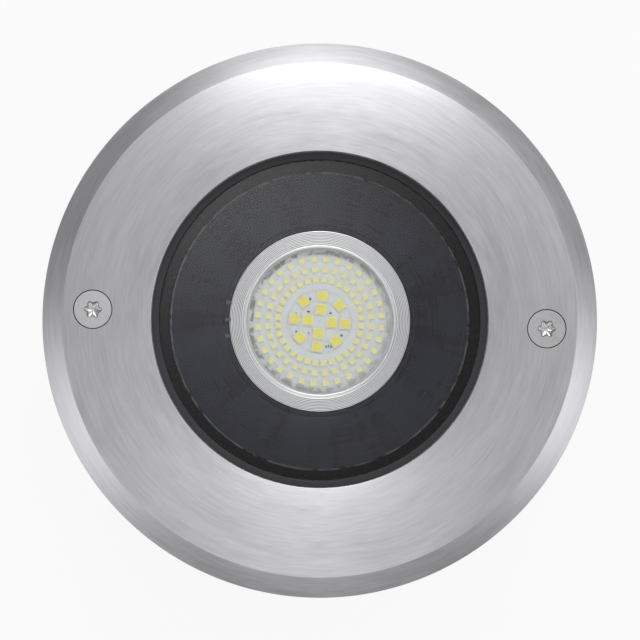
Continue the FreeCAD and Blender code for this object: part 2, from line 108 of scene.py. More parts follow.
class Graph:
    """A node tree with short ways of adding to it."""

    def __init__(self, tree: bpy.types.NodeTree) -> None:
        """Empty the tree and keep it."""
        self.tree = tree
        tree.nodes.clear()

    def feed(self, socket: bpy.types.NodeSocket, value: object) -> None:
        """Link a wire to a socket, or set the socket's own value.

        Args:
            socket: the input to fill.
            value: a wire, a number, a colour, a vector or a data block.
        """
        if isinstance(value, Wire):
            self.tree.links.new(value.socket, socket)
        else:
            socket.default_value = value

    def node(self, kind: str, settings: dict | None = None, sockets: dict | None = None) -> bpy.types.Node:
        """Add a node: its settings first, then its sockets.

        Args:
            kind: the node's type.
            settings: attributes by name; stops holds a ramp's places and colours.
            sockets: values or wires by input name or number.

        Returns:
            The node.
        """
        node = self.tree.nodes.new(kind)
        for key, value in (settings or {}).items():
            if key == "stops":
                self.set_stops(node.color_ramp, value)
            else:
                setattr(node, key, value)
        for key, value in (sockets or {}).items():
            self.feed(node.inputs[key], value)
        return node

    @staticmethod
    def set_stops(ramp: bpy.types.ColorRamp, stops: list[tuple[float, Colour]]) -> None:
        """Give a ramp its stops."""
        while len(ramp.elements) < len(stops):
            ramp.elements.new(1.0)
        for element, (place, colour) in zip(ramp.elements, stops):
            element.position = place
            element.color = (*colour, 1.0)

    def out(self, kind: str, output: str | int, settings: dict | None = None,
            sockets: dict | None = None) -> Wire:
        """Add a node and return one of its outputs.

        Args:
            kind: the node's type.
            output: the output's name or number.
            settings: attributes by name.
            sockets: values or wires by input name or number.

        Returns:
            The output as a wire.
        """
        return Wire(self, self.node(kind, settings, sockets).outputs[output])

    def maths(self, operation: str, *values: Number, clamp: bool = False) -> Wire:
        """Add a Math node.

        Args:
            operation: what it works out.
            values: its inputs in order.
            clamp: True holds the result between 0 and 1.

        Returns:
            The result.
        """
        settings = {"operation": operation, "use_clamp": clamp}
        return self.out("ShaderNodeMath", 0, settings, dict(enumerate(values)))

    def vector(self, x: Number, y: Number, z: Number) -> Wire:
        """Three numbers as a vector."""
        return self.out("ShaderNodeCombineXYZ", 0, None, {0: x, 1: y, 2: z})

    def parts(self, vector: Wire) -> tuple[Wire, Wire, Wire]:
        """A vector's three numbers."""
        node = self.node("ShaderNodeSeparateXYZ", None, {0: vector})
        return Wire(self, node.outputs[0]), Wire(self, node.outputs[1]), Wire(self, node.outputs[2])

    def blended(self, factor: Number, low: object, high: object) -> Wire:
        """Two colours mixed.

        Args:
            factor: 0 gives low, 1 gives high.
            low: a wire or a plain colour.
            high: a wire or a plain colour.

        Returns:
            The mixed colour.
        """
        def full(value: object) -> object:
            """A plain colour with its alpha."""
            return value if isinstance(value, Wire) else (*value, 1.0)
        return self.out("ShaderNodeMix", 2, {"data_type": "RGBA", "clamp_factor": True},
                        {0: factor, 6: full(low), 7: full(high)})

    def place(self) -> Wire:
        """The point's place on the piece."""
        return self.out("ShaderNodeTexCoord", "Object")

    def polar(self, axis_x_mm: float = 0.0) -> Polar:
        """The point's place round the Z axis, or round a pair of axes at either side of it."""
        x, y, z = self.parts(self.place())
        if axis_x_mm:
            x = self.maths("ABSOLUTE", x) - axis_x_mm * MM
        radius = self.maths("SQRT", x * x + y * y + ON_AXIS * ON_AXIS)
        return Polar(radius, x / radius, y / radius, z)

    def noise(self, vector: Wire, scale: float, detail: float = 2.0, rough: float = 0.5) -> Wire:
        """Cloudy pattern between 0 and 1.

        Args:
            vector: where it is read.
            scale: how fine it is, per metre of the vector.
            detail: how many finer layers it has.
            rough: how strong those are.

        Returns:
            The pattern.
        """
        return self.out("ShaderNodeTexNoise", 0, None,
                        {"Vector": vector, "Scale": scale, "Detail": detail, "Roughness": rough})

    def bump(self, height: Wire, depth_mm: float, strength: float = 1.0) -> Wire:
        """Relief as a bent normal.

        Args:
            height: the relief between 0 and 1.
            depth_mm: how deep 1 is.
            strength: how much of it shows.

        Returns:
            The normal.
        """
        return self.out("ShaderNodeBump", 0, None,
                        {"Height": height, "Distance": depth_mm * MM, "Strength": strength})

    def surface(self, sockets: dict) -> Wire:
        """The main shader with its sockets filled."""
        return self.out("ShaderNodeBsdfPrincipled", 0, None, sockets)

    def show(self, shader: Wire) -> None:
        """Make a shader the material's surface."""
        self.node("ShaderNodeOutputMaterial", None, {"Surface": shader})

    def ray(self, *kinds: str) -> Wire:
        """1 for rays of any of the named kinds."""
        node = self.node("ShaderNodeLightPath")
        found = Wire(self, node.outputs[kinds[0]])
        for kind in kinds[1:]:
            found = self.maths("MAXIMUM", found, Wire(self, node.outputs[kind]))
        return found


# ---- finishes -----------------------------------------------------------------------------------
def shade(colour: Colour, factor: float) -> Colour:
    """A colour made lighter or darker."""
    return tuple(min(1.0, part * factor) for part in colour)


@dataclass(frozen=True)
class Finish:
    """A finish's name and main colour."""

    name: str
    colour: Colour

    def material(self) -> bpy.types.Material:
        """The finish as a material, made the first time it is asked for."""
        label = "look_" + self.name
        made = bpy.data.materials.get(label)
        if made is None:
            made = bpy.data.materials.new(label)
            made.use_nodes = True
            self.dress(Graph(made.node_tree))
        return made

    def dress(self, graph: Graph) -> None:
        """Fill the material's tree."""
        raise NotImplementedError


@dataclass(frozen=True)
class TurnedMetal(Finish):
    """Metal worked in rings about the Z axis, with fine lines and a streaked sheen."""

    roughness: float = 0.3
    sheen: float = 0.6
    lines_per_m: float = 5200.0
    arc: float = 5.0
    contrast: float = 0.10
    swing: float = 0.14
    depth_mm: float = 0.006
    axis_x_mm: float = 0.0
    groove_pitch_mm: float = 0.0
    groove_at_mm: float = 0.0
    groove_end_mm: float = 0.0
    groove_shade: float = 0.5

    def dress(self, graph: Graph) -> None:
        """Lines that follow circles, over a slow unevenness, and painted shade in any grooves."""
        at = graph.polar(self.axis_x_mm)
        along = graph.vector(at.radius * self.lines_per_m, at.cosine * self.arc, at.sine * self.arc)
        fine = graph.noise(along, 1.0, 3.0, 0.6)
        broad = graph.noise(graph.vector(at.radius * self.lines_per_m / 7, at.cosine * 2.2, at.sine * 2.2),
                            1.0, 2.0)
        cloudy = graph.noise(graph.place(), 60.0, 3.0)
        grain = fine * 0.55 + broad * 0.3 + cloudy * 0.15
        tone = graph.blended(((grain - 0.5) * 2.2 + 0.5).clear(), shade(self.colour, 1 - self.contrast),
                             shade(self.colour, 1 + self.contrast))
        # painted shade: the grooves are darkened in the colour, standing in for the shade that falls in them
        if self.groove_pitch_mm:
            turn = (at.radius - self.groove_at_mm * MM) * (TAU / (self.groove_pitch_mm * MM))
            groove_shade_mask = (graph.maths("COSINE", turn) * 1.2).clear() * (at.radius > self.groove_end_mm * MM)
            tone = graph.blended(groove_shade_mask, tone, shade(self.colour, self.groove_shade))
        graph.show(graph.surface({
            "Base Color": tone,
            "Metallic": 1.0,
            "Roughness": (self.roughness + (grain - 0.5) * self.swing).clear(),
            "Anisotropic": self.sheen,
            "Anisotropic Rotation": 0.25,
            "Normal": graph.bump(fine * 0.6 + broad * 0.4, self.depth_mm)}))


@dataclass(frozen=True)
class SpunPaint(Finish):
    """Thin dark paint on a spun disc: faint rings, painted wedges of sheen, and an outer chamfer scuffed to
    metal and painted lighter as its highlight.
    """

    roughness: float = 0.3
    # the outer chamfer's colour and where it starts: scuffed paint, painted lighter as a painted highlight
    edge_highlight: Colour = (0.30, 0.31, 0.33)
    edge_highlight_from: float = 40.72

    def dress(self, graph: Graph) -> None:
        """Painted sheen in wedges round the axis, blotches, and the outer chamfer painted lighter as a
        highlight, broken by scuffs.
        """
        at = graph.polar()
        # painted sheen: lighter and darker wedges round the axis stand in for reflections
        painted_sheen_wedges = graph.noise(graph.vector(at.cosine * 4.5, at.sine * 4.5, at.radius * 20.0), 1.0, 3.0, 0.6)
        rings = graph.noise(graph.vector(at.radius * 1400.0, at.cosine * 3.0, at.sine * 3.0), 1.0, 2.0)
        cloudy = graph.noise(graph.place(), 90.0, 4.0)
        # tone: painted sheen from the wedges, with real blotches and rings
        tone = ((painted_sheen_wedges * 0.5 + cloudy * 0.3 + rings * 0.2 - 0.38) / 0.28).clear()
        scuffed = graph.noise(graph.vector(at.cosine * 14.0, at.sine * 14.0, at.height * 900.0), 1.0, 3.0)
        # painted highlight on the outer chamfer, broken up by scuffs
        edge_highlight_mask = (at.radius > self.edge_highlight_from * MM) * ((scuffed - 0.34) / 0.2).clear()
        painted = graph.blended(tone, shade(self.colour, 0.45), shade(self.colour, 1.7))
        graph.show(graph.surface({
            "Base Color": graph.blended(edge_highlight_mask, painted, self.edge_highlight),
            "Roughness": (self.roughness + (tone - 0.5) * 0.14).clear(),
            "Specular IOR Level": 0.2,
            "Normal": graph.bump(rings, 0.003)}))


@dataclass(frozen=True)
class CoatedMetal(Finish):
    """Powder coat: fine orange peel over cast metal."""

    roughness: float = 0.55
    peel_per_m: float = 1500.0
    depth_mm: float = 0.05

    def dress(self, graph: Graph) -> None:
        """Peel with painted shade in its hollows, and slow unevenness."""
        at = graph.place()
        peel = graph.noise(at, self.peel_per_m, 3.0)
        cloudy = graph.noise(at, 70.0, 4.0)
        # painted shade: the peel's hollows are darker in the colour
        tone = peel * 0.35 + cloudy * 0.65
        graph.show(graph.surface({
            "Base Color": graph.blended(tone, shade(self.colour, 0.75), shade(self.colour, 1.35)),
            "Roughness": (self.roughness + (cloudy - 0.5) * 0.2).clear(),
            "Normal": graph.bump(peel, self.depth_mm)}))


@dataclass(frozen=True)
class Moulded(Finish):
    """Moulded plastic: spark-eroded grain and faint flow marks."""

    roughness: float = 0.5
    grain_per_m: float = 2600.0
    depth_mm: float = 0.02

    def dress(self, graph: Graph) -> None:
        """Fine grain and stretched flow marks."""
        at = graph.place()
        x, y, z = graph.parts(at)
        grain = graph.noise(at, self.grain_per_m, 2.0)
        flow = graph.noise(graph.vector(x * 40.0, y * 40.0, z * 12.0), 1.0, 4.0)
        graph.show(graph.surface({
            "Base Color": graph.blended(flow, shade(self.colour, 0.86), shade(self.colour, 1.14)),
            "Roughness": (self.roughness + (flow - 0.5) * 0.18 + (grain - 0.5) * 0.1).clear(),
            "Normal": graph.bump(grain, self.depth_mm)}))


@dataclass(frozen=True)
class RubberSkin(Finish):
    """Silicone rubber: satin, with a bloom of dust."""

    roughness: float = 0.6

    def dress(self, graph: Graph) -> None:
        """Bloom and a soft skin."""
        at = graph.place()
        bloom = graph.noise(at, 260.0, 5.0, 0.65)
        skin = graph.noise(at, 1800.0, 2.0)
        graph.show(graph.surface({
            "Base Color": graph.blended(bloom, shade(self.colour, 0.7), shade(self.colour, 1.3)),
            "Roughness": (self.roughness + (bloom - 0.5) * 0.25).clear(),
            "Normal": graph.bump(skin, 0.02)}))


@dataclass(frozen=True)
class ZincSheet(Finish):
    """Zinc-plated or plain small metal: faint crystals and a dull sheen."""

    roughness: float = 0.34
    crystal_per_m: float = 420.0

    def dress(self, graph: Graph) -> None:
        """Crystals that differ in tone."""
        at = graph.place()
        crystal = graph.out("ShaderNodeTexVoronoi", "Distance", {"feature": "SMOOTH_F1"},
                            {"Vector": at, "Scale": self.crystal_per_m, "Smoothness": 0.6})
        scratch = graph.noise(at, 1500.0, 4.0)
        tone = (crystal * 0.7 + scratch * 0.4).clear()
        graph.show(graph.surface({
            "Base Color": graph.blended(tone, shade(self.colour, 0.82), shade(self.colour, 1.12)),
            "Metallic": 1.0,
            "Roughness": (self.roughness + (tone - 0.5) * 0.16).clear(),
            "Normal": graph.bump(scratch, 0.008)}))


@dataclass(frozen=True)
class Ceramic(Finish):
    """Unglazed ceramic: chalky, with specks."""

    def dress(self, graph: Graph) -> None:
        """Chalky grain and sparse specks."""
        at = graph.place()
        chalk = graph.noise(at, 900.0, 5.0, 0.7)
        speck = graph.noise(at, 2300.0, 1.0) > 0.72
        base = graph.blended(chalk, shade(self.colour, 0.9), shade(self.colour, 1.05))
        graph.show(graph.surface({
            "Base Color": graph.blended(speck * 0.6, base, shade(self.colour, 0.55)),
            "Roughness": (0.72 + (chalk - 0.5) * 0.2).clear(),
            "Normal": graph.bump(chalk, 0.05)}))


@dataclass(frozen=True)
class ClearGlass(Finish):
    """Clear glass or clear plastic that lets light and shadow through without grain."""

    roughness: float = 0.0
    index: float = 1.5
    smear: float = 0.02

    def dress(self, graph: Graph) -> None:
        """Refracting for what is seen, plainly clear for the light that passes it."""
        at = graph.place()
        wipe = graph.noise(at, 45.0, 4.0, 0.6)
        glass = graph.surface({
            "Base Color": graph.blended(wipe, self.colour, shade(self.colour, 1.03)),
            "Roughness": (self.roughness + wipe * self.smear).clear(),
            "IOR": self.index, "Transmission Weight": 1.0})
        open_way = graph.out("ShaderNodeBsdfTransparent", 0, None, {"Color": (*self.colour, 1.0)})
        passing = graph.ray("Is Shadow Ray", "Is Diffuse Ray", "Is Glossy Ray")
        graph.show(graph.out("ShaderNodeMixShader", 0, None, {0: passing, 1: glass, 2: open_way}))


@dataclass(frozen=True)
class Phosphor(Finish):
    """Yellow gel in a lamp's chip: soft, grainy and a little glossy."""

    def dress(self, graph: Graph) -> None:
        """Grain in the gel, and a slow difference from chip to chip."""
        at = graph.place()
        grain = graph.noise(at, 2600.0, 3.0)
        batch = graph.noise(at, 330.0, 1.0)
        tone = grain * 0.5 + batch * 0.5
        graph.show(graph.surface({
            "Base Color": graph.blended(tone, shade(self.colour, 0.85), shade(self.colour, 1.12)),
            "Roughness": (0.3 + (grain - 0.5) * 0.2).clear(),
            "Normal": graph.bump(grain, 0.02)}))


@dataclass(frozen=True)
class BoardMask(Finish):
    """Pale solder mask with faint copper rings below it, and painted shadow in dark patches near its rim,
    more on one side.
    """

    copper: Colour = (0.56, 0.59, 0.61)
    # painted shadow: colour and radii of the dark patches near the board's rim
    rim_shadow: Colour = (0.13, 0.12, 0.09)
    rim_shadow_from: float = 18.2
    rim_shadow_to: float = 19.9

    def dress(self, graph: Graph) -> None:
        """Rings by radius, broken up, and irregular patches of painted shadow in a narrow band."""
        at = graph.polar()
        cloudy = graph.noise(graph.place(), 240.0, 4.0, 0.6)
        rings = graph.maths("SINE", at.radius * (TAU / (2.78 * MM)) + cloudy * 2.0) > 0.72
        shadow_patch = graph.noise(graph.vector(at.cosine * 7.0, at.sine * 7.0, at.radius * 420.0), 1.0, 4.0, 0.6)
        inwards = ((at.radius - self.rim_shadow_from * MM) / (0.5 * MM)).clear()
        outwards = ((self.rim_shadow_to * MM - at.radius) / (0.3 * MM)).clear()
        # painted shadow: patches in the band, more of them on one side
        side = (0.62 - at.cosine * 0.25 + at.sine * 0.12).clear()
        marks = ((shadow_patch - 0.44) / 0.1).clear() * inwards * outwards * side
        base = graph.blended(cloudy, shade(self.colour, 0.9), shade(self.colour, 1.08))
        traced = graph.blended(rings * 0.3, base, self.copper)
        graph.show(graph.surface({
            "Base Color": graph.blended(marks * 0.85, traced, self.rim_shadow),
            "Roughness": (0.42 + (cloudy - 0.5) * 0.2).clear(),
            "Normal": graph.bump(rings, 0.02)}))


BEZEL_STEEL = TurnedMetal("bezel_steel", (0.555, 0.555, 0.57), roughness=0.34, sheen=0.7, lines_per_m=1700.0,
                          arc=7.0, contrast=0.16, swing=0.26)
SCREW_STEEL = TurnedMetal("screw_steel", (0.56, 0.56, 0.56), roughness=0.28, sheen=0.0, lines_per_m=2400.0,
                          arc=2.0, depth_mm=0.004, axis_x_mm=61.15)
RIM_METAL = TurnedMetal("rim_metal", (0.88, 0.88, 0.885), roughness=0.34, sheen=0.3, lines_per_m=3000.0,
                        contrast=0.06, groove_pitch_mm=0.4167, groove_at_mm=24.583, groove_end_mm=21.4)
BEAD_METAL = TurnedMetal("bead_metal", (0.78, 0.78, 0.77), roughness=0.3, sheen=0.2, depth_mm=0.002)
SHELL_METAL = ZincSheet("shell_metal", (0.74, 0.75, 0.76), roughness=0.38, crystal_per_m=700.0)
PLATE_PAINT = SpunPaint("plate_paint", (0.010, 0.011, 0.020))
CAST_BLACK = CoatedMetal("cast_black", (0.014, 0.014, 0.020), roughness=0.46, depth_mm=0.03)
GASKET = RubberSkin("gasket", (0.024, 0.024, 0.029))
ZINC = ZincSheet("zinc", (0.62, 0.64, 0.66))
SMALL_STEEL = ZincSheet("small_steel", (0.60, 0.61, 0.62), roughness=0.28, crystal_per_m=1200.0)
NICKEL = ZincSheet("nickel", (0.70, 0.69, 0.66), roughness=0.2, crystal_per_m=1500.0)
CLIP_BLACK = CoatedMetal("clip_black", (0.05, 0.05, 0.055), roughness=0.4)
PORCELAIN = Ceramic("porcelain", (0.86, 0.85, 0.81))
TERMINAL = Moulded("terminal", (0.80, 0.80, 0.77), roughness=0.45)
BASE_PLASTIC = Moulded("base_plastic", (0.78, 0.78, 0.75), roughness=0.5)
GLAND_BLACK = Moulded("gland_black", (0.05, 0.05, 0.054), roughness=0.42)
SLEEVE_GREY = Moulded("sleeve_grey", (0.085, 0.085, 0.09), roughness=0.55, grain_per_m=1500.0)
FRONT_GLASS = ClearGlass("front_glass", (0.99, 0.992, 0.996))
LAMP_FACE = ClearGlass("lamp_face", (0.99, 0.992, 0.994), index=1.4)
BOARD = BoardMask("board", (0.74, 0.77, 0.74))
CHIP_BODY = Ceramic("chip_body", (0.90, 0.88, 0.74))
SMALL_GEL = Phosphor("small_gel", (0.97, 0.88, 0.36))
LARGE_GEL = Phosphor("large_gel", (1.0, 0.84, 0.15))
DARK_PART = Moulded("dark_part", (0.10, 0.10, 0.10))


# ---- meshes -------------------------------------------------------------------------------------
def shown(name: str, mesh: bpy.types.Mesh) -> bpy.types.Object:
    """A mesh as an object in the scene."""
    piece = bpy.data.objects.new(name, mesh)
    bpy.context.scene.collection.objects.link(piece)
    return piece


def baked(piece: bpy.types.Object) -> bpy.types.Object:
    """Replace a piece's mesh by what its modifiers make of it, and remove them."""
    bpy.context.view_layer.update()
    seen = piece.evaluated_get(bpy.context.evaluated_depsgraph_get())
    mesh = bpy.data.meshes.new_from_object(seen)
    piece.modifiers.clear()
    piece.data = mesh
    return piece


def crisp(piece: bpy.types.Object, angle_deg: float = CRISP_DEG) -> bpy.types.Object:
    """Shade a piece smooth, except across edges sharper than an angle."""
    piece.data.shade_smooth()
    piece.data.set_sharp_from_angle(angle=math.radians(angle_deg))
    return piece


def from_bmesh(name: str, made: bmesh.types.BMesh) -> bpy.types.Object:
    """Close a bmesh's seams, turn its faces outwards and show it."""
    bmesh.ops.remove_doubles(made, verts=made.verts, dist=ON_AXIS)
    bmesh.ops.recalc_face_normals(made, faces=made.faces)
    mesh = bpy.data.meshes.new(name)
    made.to_mesh(mesh)
    made.free()
    return crisp(shown(name, mesh))


def rounded(corners: list[Corner], steps: int) -> list[Flat]:
    """Round the corners of a closed outline.

    Args:
        corners: (u, v) or (u, v, radius) in order.
        steps: how many straight runs each round has.

    Returns:
        The outline's points.
    """
    points = []
    for i, corner in enumerate(corners):
        here = Vector(corner[:2])
        if len(corner) < 3:
            points.append((here.x, here.y))
            continue
        back = (Vector(corners[i - 1][:2]) - here).normalized()
        ahead = (Vector(corners[(i + 1) % len(corners)][:2]) - here).normalized()
        half = back.angle(ahead) / 2
        reach = corner[2] / math.tan(half)
        centre = here + (back + ahead).normalized() * (corner[2] / math.sin(half))
        first, last = here + back * reach - centre, here + ahead * reach - centre
        sweep = first.angle_signed(last)
        for k in range(steps + 1):
            spoke = first.copy()
            spoke.rotate(Matrix.Rotation(-sweep * k / steps, 2))
            points.append((centre.x + spoke.x, centre.y + spoke.y))
    return points


def skinned(name: str, rows: list[Corner], segments: int, lobes: int = 0) -> bpy.types.Object:
    """Skin over rings about the Z axis, the last joined to the first.

    Args:
        name: the piece's name.
        rows: (radius, height) or (radius, height, swing) in mm; the swing makes the ring lobed.
        segments: how many flats each ring has.
        lobes: how many lobes a swing gives.

    Returns:
        The piece, closed and facing outwards.
    """
    made = bmesh.new()
    rings = []
    for radius, height, *swing in rows:
        ring = []
        for i in range(1 if radius < ON_AXIS else segments):
            angle = TAU * i / segments
            reach = (radius + sum(swing) * math.cos(lobes * angle)) * MM
            ring.append(made.verts.new((reach * math.cos(angle), reach * math.sin(angle), height * MM)))
        rings.append(ring)
    for ring, following in zip(rings, rings[1:] + rings[:1]):
        if len(ring) == 1 and len(following) == 1:
            continue
        for i in range(segments):
            j = (i + 1) % segments
            corner_verts = [ring[i % len(ring)], ring[j % len(ring)],
                            following[j % len(following)], following[i % len(following)]]
            made.faces.new(list(dict.fromkeys(corner_verts)))
    return from_bmesh(name, made)


def turned(name: str, corners: list[Corner], segments: int = 256, steps: int = 3) -> bpy.types.Object:
    """Turn a closed section about the Z axis.

    Args:
        name: the piece's name.
        corners: (radius, height) or (radius, height, rounding) in mm.
        segments: how many flats the piece has round it.
        steps: how many straight runs each rounding has.

    Returns:
        The piece.
    """
    return skinned(name, rounded(corners, steps), segments)


class Plane(Enum):
    """Which plane an outline lies in: the axes of its u and v, and of its thickness."""

    XY = (0, 1, 2)
    XZ = (0, 2, 1)
    YZ = (1, 2, 0)


def prism(name: str, corners: list[Corner], plane: Plane, start: float, end: float,
          steps: int = 4) -> bpy.types.Object:
    """Give a flat outline a thickness.

    Args:
        name: the piece's name.
        corners: (u, v) or (u, v, rounding) in mm.
        plane: the plane that they lie in.
        start: where the thickness begins on the plane's normal, in mm.
        end: where it ends.
        steps: how many straight runs each rounding has.

    Returns:
        The piece.
    """
    made = bmesh.new()
    across, up, through = plane.value
    flat = rounded(corners, steps)
    layers = []
    for level in (start, end):
        layer = []
        for u, v in flat:
            point = [0.0, 0.0, 0.0]
            point[across], point[up], point[through] = u * MM, v * MM, level * MM
            layer.append(made.verts.new(point))
        layers.append(layer)
    made.faces.new(layers[0])
    made.faces.new(layers[1])
    for i in range(len(flat)):
        j = (i + 1) % len(flat)
        made.faces.new([layers[0][i], layers[0][j], layers[1][j], layers[1][i]])
    return from_bmesh(name, made)


def eased(piece: bpy.types.Object, width_mm: float, segments: int = 2) -> bpy.types.Object:
    """Break a piece's sharp edges."""
    bevel = piece.modifiers.new("eased", "BEVEL")
    bevel.width = width_mm * MM
    bevel.segments = segments
    bevel.limit_method = "ANGLE"
    bevel.angle_limit = math.radians(CRISP_DEG)
    return crisp(baked(piece))


def pin(name: str, radius: float, low: float, high: float, segments: int) -> bpy.types.Object:
    """Plain round bar on the Z axis, in mm."""
    return turned(name, [(0, low), (radius, low), (radius, high), (0, high)], segments)


def block(name: str, half_x: float, half_y: float, foot: float, top: float, round_mm: float = 0.0,
          steps: int = 4) -> bpy.types.Object:
    """Upright block on the Z axis, its four corners rounded alike, in mm."""
    corners = [(x * half_x, y * half_y) for x, y in ((-1, -1), (1, -1), (1, 1), (-1, 1))]
    if round_mm:
        corners = [(*corner, round_mm) for corner in corners]
    return prism(name, corners, Plane.XY, foot, top, steps)


def upright(name: str, corners: list[Corner], thickness: float, ease_mm: float) -> bpy.types.Object:
    """Plate that stands in the XZ plane, its edges broken, in mm."""
    return eased(prism(name, corners, Plane.XZ, -thickness / 2, thickness / 2), ease_mm)


def merged(name: str, pieces: list[bpy.types.Object]) -> bpy.types.Object:
    """Put several pieces of one finish in one mesh."""
    made = bmesh.new()
    for piece in pieces:
        made.from_mesh(piece.data)
        bpy.data.objects.remove(piece)
    mesh = bpy.data.meshes.new(name)
    made.to_mesh(mesh)
    made.free()
    return crisp(shown(name, mesh))


def moved(piece: bpy.types.Object, x: float = 0.0, y: float = 0.0, z: float = 0.0) -> bpy.types.Object:
    """Move a piece's mesh, in mm."""
    piece.data.transform(Matrix.Translation(Vector((x, y, z)) * MM))
    return piece


def laid(piece: bpy.types.Object, angle_deg: float, axis: str) -> bpy.types.Object:
    """Turn a piece's mesh about an axis through the origin."""
    piece.data.transform(Matrix.Rotation(math.radians(angle_deg), 4, axis))
    return piece


def cut(piece: bpy.types.Object, cutters: list[bpy.types.Object]) -> bpy.types.Object:
    """Take cutters out of a piece, and remove them.

    Args:
        piece: what is cut.
        cutters: closed pieces that don't touch one another.

    Returns:
        The piece.
    """
    for cutter in cutters:
        taken = piece.modifiers.new("cut", "BOOLEAN")
        taken.operation = "DIFFERENCE"
        taken.solver = "EXACT"
        taken.object = cutter
    baked(piece)
    for cutter in cutters:
        bpy.data.objects.remove(cutter)
    return crisp(piece)


def regular(radius: float, sides: int, round_mm: float = 0.0, turn_deg: float = 0.0) -> list[Corner]:
    """Corners of a regular polygon, each rounded alike."""
    corners = []
    for i in range(sides):
        angle = TAU * i / sides + math.radians(turn_deg)
        corner = (radius * math.cos(angle), radius * math.sin(angle))
        corners.append((*corner, round_mm) if round_mm else corner)
    return corners


# ---- repeats ------------------------------------------------------------------------------------
class PatternTree:
    """A Geometry Nodes tree with named inputs, which ends in real meshes of one finish."""

    def __init__(self, name: str, inputs: dict[str, str]) -> None:
        """Make the tree and its inputs.

        Args:
            name: the tree's name.
            inputs: socket types by input name.
        """
        self.tree = bpy.data.node_groups.new(name, "GeometryNodeTree")
        self.graph = Graph(self.tree)
        sockets = {**inputs, "Finish": "NodeSocketMaterial"}
        for label, kind in sockets.items():
            self.tree.interface.new_socket(label, in_out="INPUT", socket_type=kind)
        self.tree.interface.new_socket("Geometry", in_out="OUTPUT", socket_type="NodeSocketGeometry")
        entry = self.graph.node("NodeGroupInput")
        self.entry = {label: Wire(self.graph, entry.outputs[label]) for label in sockets}

    def end(self, geometry: Wire) -> None:
        """Realize the geometry, give it its finish and put it out."""
        real = self.graph.out("GeometryNodeRealizeInstances", 0, None, {"Geometry": geometry})
        dressed = self.graph.out("GeometryNodeSetMaterial", 0, None,
                                 {"Geometry": real, "Material": self.entry["Finish"]})
        self.graph.node("NodeGroupOutput", None, {0: dressed})

    def run(self, name: str, values: dict[str, object],
            mesh: bpy.types.Mesh | None = None) -> bpy.types.Object:
        """Run the tree and keep its result as a plain mesh.

        Args:
            name: the new piece's name.
            values: what each input gets.
            mesh: the mesh that the tree works on, if it takes one.

        Returns:
            The piece.
        """
        piece = shown(name, mesh or bpy.data.meshes.new(name))
        pattern = piece.modifiers.new("pattern", "NODES")
        pattern.node_group = self.tree
        for item in self.tree.interface.items_tree:
            if item.in_out == "INPUT" and item.name in values:
                pattern[item.identifier] = values[item.name]
        return baked(piece)


class RingTree(PatternTree):
    """Copies of one piece at even steps round the Z axis, each a little out of true."""

    def __init__(self) -> None:
        """Build the tree."""
        super().__init__("ring_of_pieces", {
            "Piece": "NodeSocketObject", "Count": "NodeSocketInt", "Radius": "NodeSocketFloat",
            "Height": "NodeSocketFloat", "Start": "NodeSocketFloat", "Twist": "NodeSocketFloat",
            "Seed": "NodeSocketInt"})
        graph, entry = self.graph, self.entry
        index = graph.out("GeometryNodeInputIndex", 0)
        angle = entry["Start"] + index * TAU / entry["Count"]
        spot = graph.vector(graph.maths("COSINE", angle) * entry["Radius"],
                            graph.maths("SINE", angle) * entry["Radius"], entry["Height"])
        points = graph.out("GeometryNodePoints", 0, None, {"Count": entry["Count"], "Position": spot})
        chance = graph.out("FunctionNodeRandomValue", 1, {"data_type": "FLOAT"},
                           {2: -1.0, 3: 1.0, "ID": index, "Seed": entry["Seed"]})
        turn = graph.vector(0.0, 0.0, angle + chance * entry["Twist"])
        piece = graph.out("GeometryNodeObjectInfo", "Geometry", None, {"Object": entry["Piece"]})
        self.end(graph.out("GeometryNodeInstanceOnPoints", 0, None,
                           {"Points": points, "Instance": piece, "Rotation": turn}))

    def ring(self, name: str, piece: bpy.types.Object, finish: Finish, count: int, radius: float = 0.0,
             height: float = 0.0, start_deg: float = 0.0, twist_deg: float = 0.0) -> bpy.types.Object:
        """Copy a piece round the axis and remove the first.

        Args:
            name: the new piece's name.
            piece: what is copied, drawn as it would lie on the X axis.
            finish: what the copies are dressed in.
            count: how many there are.
            radius: how far out they go, in mm.
            height: how high they go, in mm.
            start_deg: where the first one goes.
            twist_deg: how far each may be out of true.

        Returns:
            The copies as one mesh.
        """
        made = self.run(name, {"Piece": piece, "Count": count, "Radius": radius * MM, "Height": height * MM,
                               "Start": math.radians(start_deg), "Twist": math.radians(twist_deg),
                               "Seed": count, "Finish": finish.material()})
        bpy.data.objects.remove(piece)
        return made


